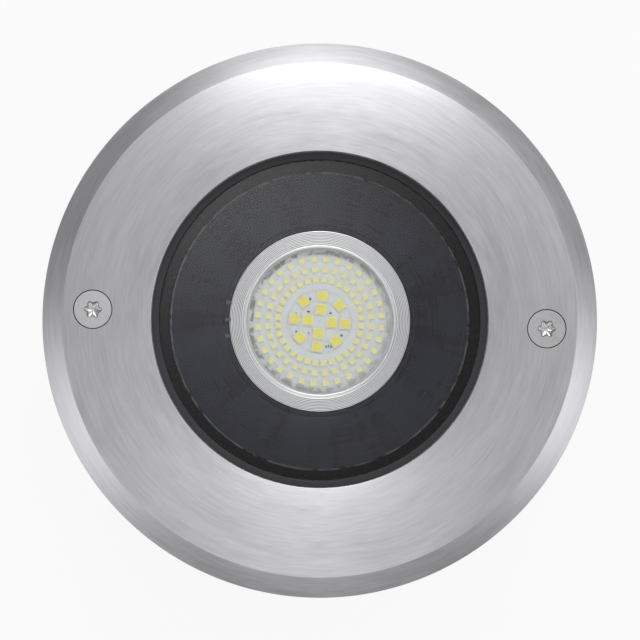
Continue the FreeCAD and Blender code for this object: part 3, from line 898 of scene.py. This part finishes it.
class FluteTree(PatternTree):
    """Upright flutes pressed into one round wall of a turned piece."""

    def __init__(self) -> None:
        """Build the tree."""
        super().__init__("fluted_wall", {
            "Geometry": "NodeSocketGeometry", "Wall": "NodeSocketFloat", "Depth": "NodeSocketFloat",
            "Count": "NodeSocketInt", "Slant": "NodeSocketFloat", "Top": "NodeSocketFloat",
            "Foot": "NodeSocketFloat"})
        graph, entry = self.graph, self.entry
        x, y, z = graph.parts(graph.out("GeometryNodeInputPosition", 0))
        radius = graph.maths("SQRT", x * x + y * y)
        near = graph.maths("ABSOLUTE", radius - entry["Wall"]) < 0.2 * MM
        slanted = graph.maths("ARCTAN2", y, x) + z * entry["Slant"]
        wave = graph.maths("COSINE", slanted * entry["Count"]) * 0.5 + 0.5
        grow = 1.0 + entry["Depth"] * wave / radius
        chosen = near * (z < entry["Top"]) * (z > entry["Foot"])
        self.end(graph.out("GeometryNodeSetPosition", 0, None, {
            "Geometry": entry["Geometry"], "Selection": chosen,
            "Position": graph.vector(x * grow, y * grow, z)}))

    def fluted(self, piece: bpy.types.Object, finish: Finish, wall: float, depth: float, count: int,
               slant: float, top: float, foot: float) -> bpy.types.Object:
        """Press flutes into a piece's wall.

        Args:
            piece: the turned piece.
            finish: what it is dressed in.
            wall: the wall's radius, in mm.
            depth: how far the flutes go out, in mm.
            count: how many there are.
            slant: how far they turn, in radians a metre.
            top: where they end, in mm.
            foot: where they begin, in mm.

        Returns:
            The piece.
        """
        name, mesh = piece.name, piece.data
        bpy.data.objects.remove(piece)
        made = self.run(name, {"Wall": wall * MM, "Depth": depth * MM, "Count": count, "Slant": slant,
                               "Top": top * MM, "Foot": foot * MM, "Finish": finish.material()}, mesh)
        return crisp(made, 60.0)


# ---- where the solids are -----------------------------------------------------------------------
@dataclass(frozen=True)
class Place:
    """A solid's reach, in mm."""

    radius: float
    foot: float
    top: float

    @classmethod
    def of(cls, node: str) -> "Place":
        """The place of a node's solid."""
        low, high = (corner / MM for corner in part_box(node))
        return cls(max(high.x, high.y), low.z, high.z)


def hand_over(piece: bpy.types.Object, body: str, slot: str, finish: Finish, *nodes: str) -> None:
    """Dress a new piece, let it ride on its body and say which solids it stands for.

    Args:
        piece: the finished piece.
        body: the body that carries it.
        slot: the slot that its finish belongs to; not used.
        finish: its finish.
        nodes: the solids that it replaces.
    """
    piece.data.materials.clear()
    piece.data.materials.append(finish.material())
    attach(piece, body)
    if nodes:
        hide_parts(*nodes)
    log.info("%s: %d faces on %s", piece.name, len(piece.data.polygons), body)


def dress_solid(node: str, finish: Finish) -> None:
    """Give a solid that stays as it is its finish."""
    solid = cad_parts[node]
    solid.data.materials.clear()
    solid.data.materials.append(finish.material())
    log.info("%s: kept and dressed", node)


# ---- sub-assemblies -----------------------------------------------------------------------------
@dataclass
class Cover:
    """Bezel ring and its two screws."""

    bevel_w: float = 5.7
    edge_h: float = 1.0
    opening_r: float = 45.4
    arris: float = 0.22
    recess_r: float = 70.3
    recess_h: float = 0.5
    mouth_r: float = 5.3
    mouth_wall: float = 0.9
    hole_r: float = 2.75
    head_r: float = 5.08
    head_wall: float = 0.35
    head_sink: float = 0.15
    shank_r: float = 2.5
    screw_l: float = 12.0
    thread_pitch: float = 0.8
    thread_depth: float = 0.36
    drive_r: float = 1.95
    drive_swing: float = 0.3
    drive_flare: float = 0.22
    drive_depth: float = 1.7
    drive_taper: float = 0.1
    drive_cone: float = 0.9
    head_arris: float = 0.05
    tip: float = 0.3
    past: float = 1.0
    segments: int = 384

    def build(self, rings: RingTree) -> None:
        """Make the bezel, cut its countersinks and set its screws."""
        at = Place.of("bezel_ring")
        under = at.foot + self.recess_h
        bezel = turned("bezel", [
            (self.opening_r, under, 0.1), (self.recess_r, under), (self.recess_r, at.foot, 0.1),
            (at.radius, at.foot, 0.1), (at.radius, at.foot + self.edge_h, 0.3),
            (at.radius - self.bevel_w, at.top, self.arris), (self.opening_r, at.top, 0.2)],
            self.segments)
        drop = self.mouth_r - self.hole_r
        mouth = [moved(turned("mouth", [
            (0, at.foot - self.past), (self.hole_r, at.foot - self.past),
            (self.hole_r, at.top - self.mouth_wall - drop), (self.mouth_r, at.top - self.mouth_wall),
            (self.mouth_r, at.top + self.past), (0, at.top + self.past)], 96),
            x=side * SCREW_X) for side in (-1, 1)]
        hand_over(cut(bezel, mouth), "cover", "bezel_steel", BEZEL_STEEL, "bezel_ring")
        screw = self.make_screw(at.top - self.head_sink)
        screws = crisp(rings.ring("screws", screw, SCREW_STEEL, 2, SCREW_X), 20.0)
        hand_over(screws, "cover", "screw_steel", SCREW_STEEL, "bezel_screws")

    def make_screw(self, top: float) -> bpy.types.Object:
        """Countersunk screw on the Z axis with a six-lobed recess and a cut thread."""
        foot, neck = top - self.screw_l, top - self.head_r + self.shank_r
        core = self.shank_r - self.thread_depth
        rows = [(0, foot), (core - self.tip, foot)]
        turns = int((neck - foot - 2 * self.tip) / self.thread_pitch)
        for i in range(turns):
            low = foot + self.tip + i * self.thread_pitch
            rows += [(core, low), (self.shank_r, low + self.thread_pitch / 2)]
        floor = top - self.drive_depth
        neck -= self.head_wall
        rows += [(core, neck - self.tip), (self.shank_r, neck), (self.head_r, top - self.head_wall),
                 (self.head_r, top - self.head_arris), (self.head_r - self.head_arris, top),
                 (self.drive_r + self.drive_flare, top, self.drive_swing),
                 (self.drive_r, top - self.drive_flare, self.drive_swing),
                 (self.drive_r - self.drive_taper, floor, self.drive_swing), (0, floor - self.drive_cone)]
        return skinned("screw", rows, 96, 6)


@dataclass
class GlassUnit:
    """Front glass and its gasket."""

    glass_chamfer: float = 0.8
    lip_r: float = 43.4
    segments: int = 256

    def build(self) -> None:
        """Make the glass with ground edges, and the rubber round it."""
        at, rubber = Place.of("front_glass"), Place.of("glass_gasket")
        c = self.glass_chamfer
        glass = turned("glass", [
            (0, at.foot), (at.radius - c, at.foot), (at.radius, at.foot + c), (at.radius, at.top - c),
            (at.radius - c, at.top), (0, at.top)], self.segments)
        hand_over(glass, "glass", "front_glass", FRONT_GLASS, "front_glass")
        gasket = turned("gasket", [
            (self.lip_r, at.top, 0.25), (self.lip_r, rubber.top, 0.5), (rubber.radius, rubber.top, 0.4),
            (rubber.radius, rubber.foot, 0.3), (at.radius + 0.02, rubber.foot, 0.3),
            (at.radius + 0.02, at.top + 0.01)], self.segments)
        hand_over(gasket, "glass", "gasket_rubber", GASKET, "glass_gasket")


@dataclass
class Housing:
    """Cast well with its fluted bore and gussets, and the yoke in it."""

    pocket_r: float = 52.2
    bore_r: float = 44.4
    flute_depth: float = 1.0
    flute_slant: float = 2.2
    flutes: int = 120
    body_r: float = 48.1
    floor_t: float = 4.0
    screw_hole_r: float = 2.55
    screw_hole_l: float = 9.05
    steps_per_flute: int = 6
    bore_land: float = 0.7
    bore_step: float = 8.0
    bore_steps: int = 8
    past: float = 1.0
    gussets: int = 8
    gusset_t: float = 3.0
    gusset_reach: float = 12.0
    gusset_drop: float = 20.0
    rib_proud: float = 1.5
    rib_end: float = 6.0

    def build(self, rings: RingTree, flutes: FluteTree) -> None:
        """Make the casting and dress what stays as it is."""
        at = Place.of("housing")
        floor = at.foot + self.floor_t
        pocket_floor = Place.of("glass_gasket").foot
        flange_foot = pocket_floor - LEDGE_T
        bore = [(self.bore_r, pocket_floor - self.bore_land - self.bore_step * (i + 1))
                for i in range(self.bore_steps)]
        body = turned("well", [
            (GLAND_HOLE_R, at.foot, 0.3), (self.body_r, at.foot, 1.2), (self.body_r, flange_foot, 1.5),
            (at.radius, flange_foot, 0.8), (at.radius, at.top, 0.5), (self.pocket_r, at.top, 0.3),
            (self.pocket_r, pocket_floor, 0.3), (self.bore_r, pocket_floor, 0.1),
            (self.bore_r, pocket_floor - self.bore_land), *bore, (self.bore_r, floor + 1.0),
            (self.bore_r - 1.0, floor),
            (GLAND_HOLE_R, floor, 0.3)], self.flutes * self.steps_per_flute)
        holes = [moved(pin("hole", self.screw_hole_r, at.top - self.screw_hole_l, at.top + self.past, 48),
                       x=side * SCREW_X) for side in (-1, 1)]
        cut(body, holes)
        well = flutes.fluted(body, CAST_BLACK, self.bore_r, self.flute_depth, self.flutes, self.flute_slant,
                             pocket_floor - 0.5, floor + 0.5)
        hand_over(well, "fixture", "cast_black", CAST_BLACK, "housing")
        inside, outside = self.body_r - 0.5, self.body_r + self.rib_proud
        web = upright("web", [
            (inside, flange_foot + 0.5), (self.body_r + self.gusset_reach, flange_foot + 0.5),
            (self.body_r + self.gusset_reach, flange_foot - 0.5),
            (outside, flange_foot - self.gusset_drop, 8.0), (outside, at.foot + self.rib_end, 1.0),
            (inside, at.foot + self.rib_end)], self.gusset_t, 0.4)
        ribs = rings.ring("gussets", web, CAST_BLACK, self.gussets, start_deg=180 / self.gussets)
        hand_over(crisp(ribs), "fixture", "cast_black", CAST_BLACK)
        dress_solid("yoke", ZINC)

@dataclass
class Gland:
    """Cable gland under the well's floor: threaded hexagon body, and dome nut with grips."""

    bore_r: float = 4.0
    thread_gap: float = 0.05
    collar: float = 1.6
    collar_lap: float = 0.1
    across_flats: float = 22.0
    mouth_r: float = 7.2
    nose_h: float = 4.0
    nose_r: float = 8.6
    nut_r: float = 9.4
    grip_half: float = 1.1
    grips: int = 12
    past: float = 1.0

    def build(self, rings: RingTree) -> None:
        """Make the body through the well's floor and the nut under it."""
        body, nut = Place.of("gland_body"), Place.of("gland_nut")
        hex_foot, well_foot = nut.top, Place.of("housing").foot
        bore, thread = self.bore_r, GLAND_HOLE_R - self.thread_gap
        collar = thread + self.collar
        barrel = turned("barrel", [(bore, hex_foot), (collar, hex_foot), (collar, well_foot),
                                   (thread, well_foot), (thread, body.top, 0.5), (bore, body.top, 0.3)], 96)
        corners = regular(self.across_flats / math.sqrt(3), 6)
        hexagon = prism("hexagon", corners, Plane.XY, hex_foot, well_foot)
        way = pin("way", collar - self.collar_lap, hex_foot - self.past, well_foot + self.past, 96)
        hexagon = cut(eased(hexagon, 0.5), [way])
        hand_over(merged("gland_thread", [barrel, hexagon]), "fixture", "gland_plastic", GLAND_BLACK,
                  "gland_body")
        nose = nut.foot + self.nose_h
        cap = turned("cap", [
            (bore, nut.foot, 0.8), (self.mouth_r, nut.foot, 1.6), (self.nose_r, nose + 1.0, 1.2),
            (self.nut_r, nose + 2.6, 0.8), (self.nut_r, nut.top, 0.3), (bore, nut.top, 0.2)], 96)
        grip = eased(prism("grip", [(9.0, -self.grip_half), (9.95, -0.7), (9.95, 0.7), (9.0, self.grip_half)],
                           Plane.XY, nose + 1.6, nut.top - 0.6), 0.2)
        grips = rings.ring("grips", grip, GLAND_BLACK, self.grips, start_deg=15.0)
        hand_over(merged("gland_cap", [cap, grips]), "fixture", "gland_plastic", GLAND_BLACK, "gland_nut")


@dataclass
class Sleeve:
    """Buried sleeve with its base ring, ribs and conduit spigot."""

    in_r: float = 66.6
    out_r: float = 69.8
    base_r: float = 74.8
    base_t: float = 3.0
    seats: int = 4
    seat_t: float = 4.0
    seat_grip: float = 8.5
    ribs: int = 8
    rib_t: float = 3.0
    rib_proud: float = 2.2
    rib_gap: float = 8.0
    conduit_r: float = 12.7
    conduit_wall: float = 2.5
    spigot_start: float = 0.8
    spigot_end: float = 74.5
    way_start: float = 40.0
    past: float = 1.0

    def build(self, rings: RingTree) -> None:
        """Make the tube, its spigot and its ribs."""
        at = Place.of("sleeve")
        flange = Place.of("housing")
        base_top = at.foot + self.base_t
        conduit_z = (flange.foot + base_top) / 2
        wall = turned("wall", [
            (self.in_r, at.foot, 0.4), (self.base_r, at.foot, 0.6), (self.base_r, base_top, 0.6),
            (self.out_r, base_top, 1.2), (self.out_r, at.top, 0.5), (self.in_r, at.top, 0.5)], 256)
        spigot_r, end = self.conduit_r + self.conduit_wall, self.spigot_end
        seat_top = Place.of("glass_gasket").foot - LEDGE_T
        start = self.in_r + self.spigot_start
        spigot = turned("spigot", [(self.conduit_r, start), (spigot_r, start), (spigot_r, end, 0.4),
                                   (self.conduit_r, end, 0.4)], 96)
        moved(laid(spigot, -90, "X"), z=conduit_z)
        way = pin("way", self.conduit_r, self.way_start, end + self.past, 96)
        moved(laid(way, -90, "X"), z=conduit_z)
        cut(wall, [way])
        middle = (self.in_r + self.out_r) / 2
        seat = upright("seat", [
            (self.in_r - self.seat_grip, at.foot + 0.2), (middle, at.foot + 0.2), (middle, seat_top),
            (self.in_r - self.seat_grip, seat_top, 1.0)], self.seat_t, 0.3)
        seats = rings.ring("seats", seat, SLEEVE_GREY, self.seats, start_deg=180 / self.seats)
        rib = upright("rib", [
            (middle, base_top - 0.5), (self.out_r + self.rib_proud, base_top - 0.5),
            (self.out_r + self.rib_proud, at.top - self.rib_gap, 2.0), (middle, at.top - self.rib_gap)],
            self.rib_t, 0.3)
        ribs = rings.ring("ribs", rib, SLEEVE_GREY, self.ribs, start_deg=180 / self.ribs)
        hand_over(merged("ground_sleeve", [wall, spigot, seats, ribs]), "sleeve", "sleeve_plastic",
                  SLEEVE_GREY, "sleeve")


@dataclass
class Carrier:
    """Tilting plate round the lamp, with the holder and the terminals under it."""

    hole_r: float = 26.4
    step_r: float = 25.15
    step_drop: float = 0.7
    nibs_y: tuple[float, ...] = (4.0, -0.7, -5.2)
    dish: float = 0.8
    chamfer: float = 0.45
    lug_x: float = 35.5
    lug_t: float = 5.5
    lug_w: float = 4.4
    lug_cut: float = 2.2
    pivot_hole_r: float = 2.05
    pivot_hole_x: tuple[float, float] = (20.0, 45.0)
    seat_x: tuple[float, float] = (23.6, 27.5)
    seat_half: float = 3.5
    seats: int = 3
    rim_t: float = 2.4
    nib_x: tuple[float, float] = (-26.0, -24.45)
    nib_t: float = 0.5
    nib_gap: float = 0.05

    def build(self, rings: RingTree) -> None:
        """Make the plate and its lugs, and dress what stays as it is."""
        at = Place.of("lamp_plate")
        under = Place.of("holder_bracket").top
        plate = turned("plate", [
            (self.step_r, at.top - self.dish - self.step_drop, 0.15), (self.step_r, under),
            (at.radius, under, 0.4),
            (at.radius, at.top - self.chamfer), (at.radius - self.chamfer, at.top),
            (self.hole_r, at.top - self.dish, 0.3), (self.hole_r, at.top - self.dish - self.step_drop)], 320)
        lug = eased(prism("lug", [
            (-self.lug_w, under + 1.0), (-self.lug_w, at.foot + self.lug_cut, 1.0),
            (self.lug_cut - self.lug_w, at.foot, 1.0), (self.lug_w - self.lug_cut, at.foot, 1.0),
            (self.lug_w, at.foot + self.lug_cut, 1.0), (self.lug_w, under + 1.0)],
            Plane.YZ, self.lug_x - self.lug_t, self.lug_x), 0.3)
        pivot_z = at.foot + self.lug_w
        hole = moved(laid(pin("hole", self.pivot_hole_r, *self.pivot_hole_x, 48), 90, "Y"), z=pivot_z)
        lugs = rings.ring("lugs", cut(lug, [hole]), PLATE_PAINT, 2)
        rim_top = Place.of("lamp_shell").top
        inner, outer = self.seat_x
        seat = eased(prism("seat", [
            (inner, -self.seat_half, 0.8), (outer, -self.seat_half), (outer, self.seat_half),
            (inner, self.seat_half, 0.8)], Plane.XY, under, rim_top - self.rim_t), 0.2)
        seats = rings.ring("seats", seat, PLATE_PAINT, self.seats, start_deg=60.0)
        hand_over(merged("lamp_plate_ring", [plate, lugs, seats]), "carrier", "plate_black", PLATE_PAINT,
                  "lamp_plate")
        nib_foot = rim_top + self.nib_gap
        root, end = self.nib_x
        taper = [(root, -0.6), (end, -0.4), (end, 0.4), (root, 0.6)]
        nibs = [moved(eased(prism("nib", taper, Plane.XY, nib_foot, nib_foot + self.nib_t), 0.12), y=y)
                for y in self.nibs_y]
        hand_over(merged("clip_nibs", nibs), "carrier", "clip_steel", CLIP_BLACK)
        for node, finish in (("pivot_screws", SMALL_STEEL), ("holder_bracket", ZINC),
                             ("lampholder", PORCELAIN), ("terminal_block", TERMINAL)):
            dress_solid(node, finish)


@dataclass
class Lamp:
    """Reflector-size lamp: grooved rim, fins, bead, stepped face, board, chips, base and pins."""

    rim_t: float = 2.4
    rim_in_r: float = 21.25
    groove_w: float = 0.15
    groove_depth: float = 0.22
    grooves: int = 8
    bead_r: float = 20.62
    bead_half: float = 0.42
    face_r: float = 20.15
    face_step_r: float = 9.75
    face_ring_r: float = 15.9
    fins: int = 12
    fin_t: float = 1.5
    chip_turn_deg: float = -3.4
    small_rings: tuple[float, ...] = (11.6, 14.35, 17.2)
    small_count: int = 32
    small_half: float = 0.84
    large_half: float = 1.45
    large_inner_r: float = 3.35
    large_outer_r: float = 7.05
    parts: tuple[tuple[float, float, float, float], ...] = (
        (-2.9, 6.1, 0.24, 0.3), (-3.2, 2.6, 0.4, 0.22), (2.9, 2.4, 0.36, 0.2), (6.2, -3.6, 0.3, 0.26),
        (-6.4, -3.0, 0.22, 0.2), (2.1, -6.9, 0.14, 0.34), (2.75, -6.7, 0.12, 0.3), (3.4, -6.9, 0.12, 0.34),
        (-6.6, 2.0, 0.16, 0.16), (-2.9, -3.3, 0.14, 0.24),
    )

    def build(self, rings: RingTree) -> None:
        """Make the whole lamp."""
        self.make_shell(rings)
        self.make_face()
        self.make_board(rings)
        dress_solid("lamp_base", BASE_PLASTIC)
        dress_solid("lamp_pins", NICKEL)

    def make_shell(self, rings: RingTree) -> None:
        """Rim with turned grooves, cup, core and fins."""
        at, board = Place.of("lamp_shell"), Place.of("led_board")
        seat = at.top - self.rim_t
        rim_w = at.radius - self.rim_in_r
        pitch = rim_w / (self.grooves + 1)
        face = [(at.radius, at.top, 0.25)]
        for i in range(self.grooves):
            middle = at.radius - pitch * (i + 1)
            face += [(middle + self.groove_w / 2, at.top), (middle, at.top - self.groove_depth),
                     (middle - self.groove_w / 2, at.top)]
        cup_foot = board.foot - 1.6
        shell = turned("shell", [
            (0, at.foot), (9.6, at.foot, 0.5), (9.6, cup_foot, 1.0), (22.0, cup_foot, 1.2), (22.0, seat),
            (at.radius, seat, 0.2), *face, (self.rim_in_r, at.top, 0.12), (self.rim_in_r - 0.4, at.top - 0.5),
            (20.8, board.foot), (0, board.foot)], 288)
        fin = upright("fin", [
            (5.0, cup_foot + 0.3), (21.0, cup_foot + 0.3), (19.5, at.top - 19.0, 4.0), (11.0, at.foot, 1.5),
            (5.0, at.foot)], self.fin_t, 0.25)
        fins = rings.ring("fins", fin, SHELL_METAL, self.fins)
        hand_over(fins, "lamp", "lamp_aluminium", SHELL_METAL)
        hand_over(shell, "lamp", "lamp_aluminium", RIM_METAL, "lamp_shell")

    def make_face(self) -> None:
        """Clear face with a stepped middle, in its bright bead."""
        lens = Place.of("lamp_lens")
        step = 0.3
        face = turned("face", [
            (0, lens.foot), (self.face_r, lens.foot), (self.face_r, lens.top - 0.1, 0.15),
            (self.face_ring_r + 0.35, lens.top - 0.1), (self.face_ring_r, lens.top - 0.25),
            (self.face_ring_r - 0.35, lens.top - 0.1), (self.face_step_r + 0.12, lens.top - 0.1),
            (self.face_step_r - 0.12, lens.top - step - 0.1), (0, lens.top - step - 0.1)], 256, 4)
        hand_over(face, "lamp", "lamp_lens", LAMP_FACE, "lamp_lens")
        low, high = lens.top - 0.6, lens.top + 0.1
        bead = turned("bead", [
            (self.bead_r - self.bead_half, low), (self.bead_r + self.bead_half, low),
            (self.bead_r + self.bead_half, high, 0.15), (self.bead_r - self.bead_half, high, 0.3)], 256, 4)
        hand_over(bead, "lamp", "lamp_bead", BEAD_METAL)

    def make_board(self, rings: RingTree) -> None:
        """Board, its three rings of small chips, the twelve large ones and the dark parts between."""
        at = Place.of("led_board")
        disc = turned("board", [(0, at.foot), (20.6, at.foot), (20.6, at.top, 0.1), (0, at.top)], 192)
        hand_over(disc, "lamp", "board_white", BOARD, "led_board")
        bodies, gels = [], []
        for radius in self.small_rings:
            for group, half, foot, top in ((bodies, self.small_half, 0.0, 0.5),
                                           (gels, self.small_half - 0.16, 0.5, 0.6)):
                chip = block("chip", half, half, foot, top, 0.1, 2)
                group.append(rings.ring("chips", chip, CHIP_BODY, self.small_count, radius, at.top,
                                        90 + self.chip_turn_deg, 3.0))
        hand_over(merged("small_chip_bodies", bodies), "lamp", "chip_pale", CHIP_BODY)
        hand_over(merged("small_chip_gels", gels), "lamp", "chip_pale", SMALL_GEL)
        bodies, gels = [], []
        for radius, start in ((self.large_inner_r, 0.0), (self.large_outer_r, 0.0),
                              (self.large_outer_r, 45.0)):
            for group, half, foot, top in ((bodies, self.large_half, 0.0, 0.6),
                                           (gels, self.large_half - 0.22, 0.6, 0.7)):
                chip = block("chip", half, half, foot, top, 0.2, 3)
                group.append(rings.ring("chips", chip, CHIP_BODY, 4, radius, at.top,
                                        start + self.chip_turn_deg, 1.5))
        hand_over(merged("large_chip_bodies", bodies), "lamp", "chip_yellow", CHIP_BODY)
        hand_over(merged("large_chip_gels", gels), "lamp", "chip_yellow", LARGE_GEL, "large_chips")
        parts = []
        for x, y, half_w, half_h in self.parts:
            part = block("part", half_w, half_h, 0.0, 0.3)
            parts.append(moved(laid(eased(part, 0.05), self.chip_turn_deg, "Z"), x, y, at.top))
        hand_over(merged("board_parts", parts), "lamp", "part_dark", DARK_PART)


# ---- studio -------------------------------------------------------------------------------------
@dataclass(frozen=True)
class Lamplight:
    """A soft box: where it hangs, how large it is and how bright."""

    name: str
    at: tuple[float, float, float]
    size: tuple[float, float]
    power: float

    def hang(self) -> None:
        """Hang it, aimed at the object."""
        data = bpy.data.lights.new(self.name, "AREA")
        data.shape = "RECTANGLE"
        data.size, data.size_y = self.size
        data.energy = self.power
        lamp = bpy.data.objects.new(self.name, data)
        lamp.location = self.at
        lamp.rotation_euler = (-Vector(self.at)).to_track_quat("-Z", "Y").to_euler()
        bpy.context.scene.collection.objects.link(lamp)


@dataclass(frozen=True)
class Glow:
    """A soft bright part of the room: where it lies, how tight it is and how bright."""

    bearing_deg: float
    lean_deg: float
    spread: float
    strength: float

    def seen(self, graph: Graph, way: Wire) -> Wire:
        """How bright it is along a direction."""
        lean, bearing = math.radians(self.lean_deg), math.radians(self.bearing_deg)
        centre = (math.sin(lean) * math.cos(bearing), math.sin(lean) * math.sin(bearing), math.cos(lean))
        near = graph.out("ShaderNodeVectorMath", "Value", {"operation": "DOT_PRODUCT"}, {0: way, 1: centre})
        return graph.maths("MAXIMUM", near, 0.0) ** self.spread * self.strength


@dataclass
class Studio:
    """Floor, world, soft boxes and camera."""

    camera_mm: float = 620.0
    tilt_deg: float = 2.2
    roll_deg: float = 2.46
    lens_mm: float = 128.8
    aim_mm: tuple[float, float] = (0.08, -0.12)
    floor_half: float = 3000.0
    floor_t: float = 20.0
    white_share: float = 0.88
    base: float = 0.31
    glows: tuple[Glow, ...] = (
        Glow(115, 9, 220, 2.1), Glow(270, 28, 28, 1.6), Glow(-15, 57, 20, 1.9), Glow(205, 57, 20, 1.7),
        Glow(45, 35, 16, 0.9), Glow(95, 60, 20, 1.9),
    )
    boxes: tuple[Lamplight, ...] = (
        Lamplight("north_box", (0.0, 0.26, 0.42), (0.22, 0.14), 0.52),
    )

    def build(self) -> None:
        """Set up everything round the object."""
        self.lay_floor()
        self.light_world()
        for box in self.boxes:
            box.hang()
        self.set_camera()
        bpy.context.scene.view_settings.view_transform = "Standard"

    def lay_floor(self) -> None:
        """Pale floor at the sleeve's foot: white to the camera, and it keeps the object's shadow."""
        foot = Place.of("sleeve").foot
        floor = block("floor", self.floor_half, self.floor_half, foot - self.floor_t, foot)
        material = bpy.data.materials.new("floor_white")
        material.use_nodes = True
        graph = Graph(material.node_tree)
        mottle = graph.noise(graph.place(), 8.0, 2.0)
        matt = graph.surface({"Base Color": graph.blended(mottle, (0.88, 0.88, 0.88), (0.92, 0.92, 0.92)),
                              "Roughness": 0.9})
        white = graph.out("ShaderNodeEmission", 0, None, {"Color": (1.0, 1.0, 1.0, 1.0), "Strength": 1.0})
        seen = graph.ray("Is Camera Ray", "Is Glossy Ray", "Is Transmission Ray") * self.white_share
        graph.show(graph.out("ShaderNodeMixShader", 0, None, {0: seen, 1: matt, 2: white}))
        floor.data.materials.append(material)

    def light_world(self) -> None:
        """Room light: an even, faintly cool base with soft bright parts in it."""
        world = bpy.data.worlds.new("room")
        bpy.context.scene.world = world
        world.use_nodes = True
        graph = Graph(world.node_tree)
        way = graph.out("ShaderNodeTexCoord", "Generated")
        strength = self.base
        for glow in self.glows:
            strength = strength + glow.seen(graph, way)
        background = graph.out("ShaderNodeBackground", 0, None,
                               {"Color": (0.98, 0.98, 1.0, 1.0), "Strength": strength})
        graph.node("ShaderNodeOutputWorld", None, {"Surface": background})

    def set_camera(self) -> None:
        """Camera nearly straight above, a little towards the object's front."""
        roll, tilt = math.radians(self.roll_deg), math.radians(self.tilt_deg)
        right = Vector((math.cos(roll), math.sin(roll), 0.0))
        level_up = Vector((-math.sin(roll), math.cos(roll), 0.0))
        back = (Vector((0, 0, 1)) * math.cos(tilt) - level_up * math.sin(tilt)).normalized()
        up = back.cross(right)
        aim = (right * self.aim_mm[0] + level_up * self.aim_mm[1]) * MM
        eye = aim + back * self.camera_mm * MM
        data = bpy.data.cameras.new("camera")
        data.lens = self.lens_mm
        data.sensor_width = 36.0
        data.clip_start = 0.01
        camera = bpy.data.objects.new("camera", data)
        camera.matrix_world = Matrix((
            (right.x, up.x, back.x, eye.x), (right.y, up.y, back.y, eye.y),
            (right.z, up.z, back.z, eye.z), (0, 0, 0, 1)))
        bpy.context.scene.collection.objects.link(camera)
        bpy.context.scene.camera = camera


def main() -> None:
    """Build the whole light in order."""
    logging.basicConfig(level=logging.INFO, format="%(message)s")
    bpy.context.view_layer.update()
    rings, flutes = RingTree(), FluteTree()
    Sleeve().build(rings)
    Housing().build(rings, flutes)
    Gland().build(rings)
    Cover().build(rings)
    GlassUnit().build()
    Carrier().build(rings)
    Lamp().build(rings)
    Studio().build()


if __name__ == "__main__":
    main()
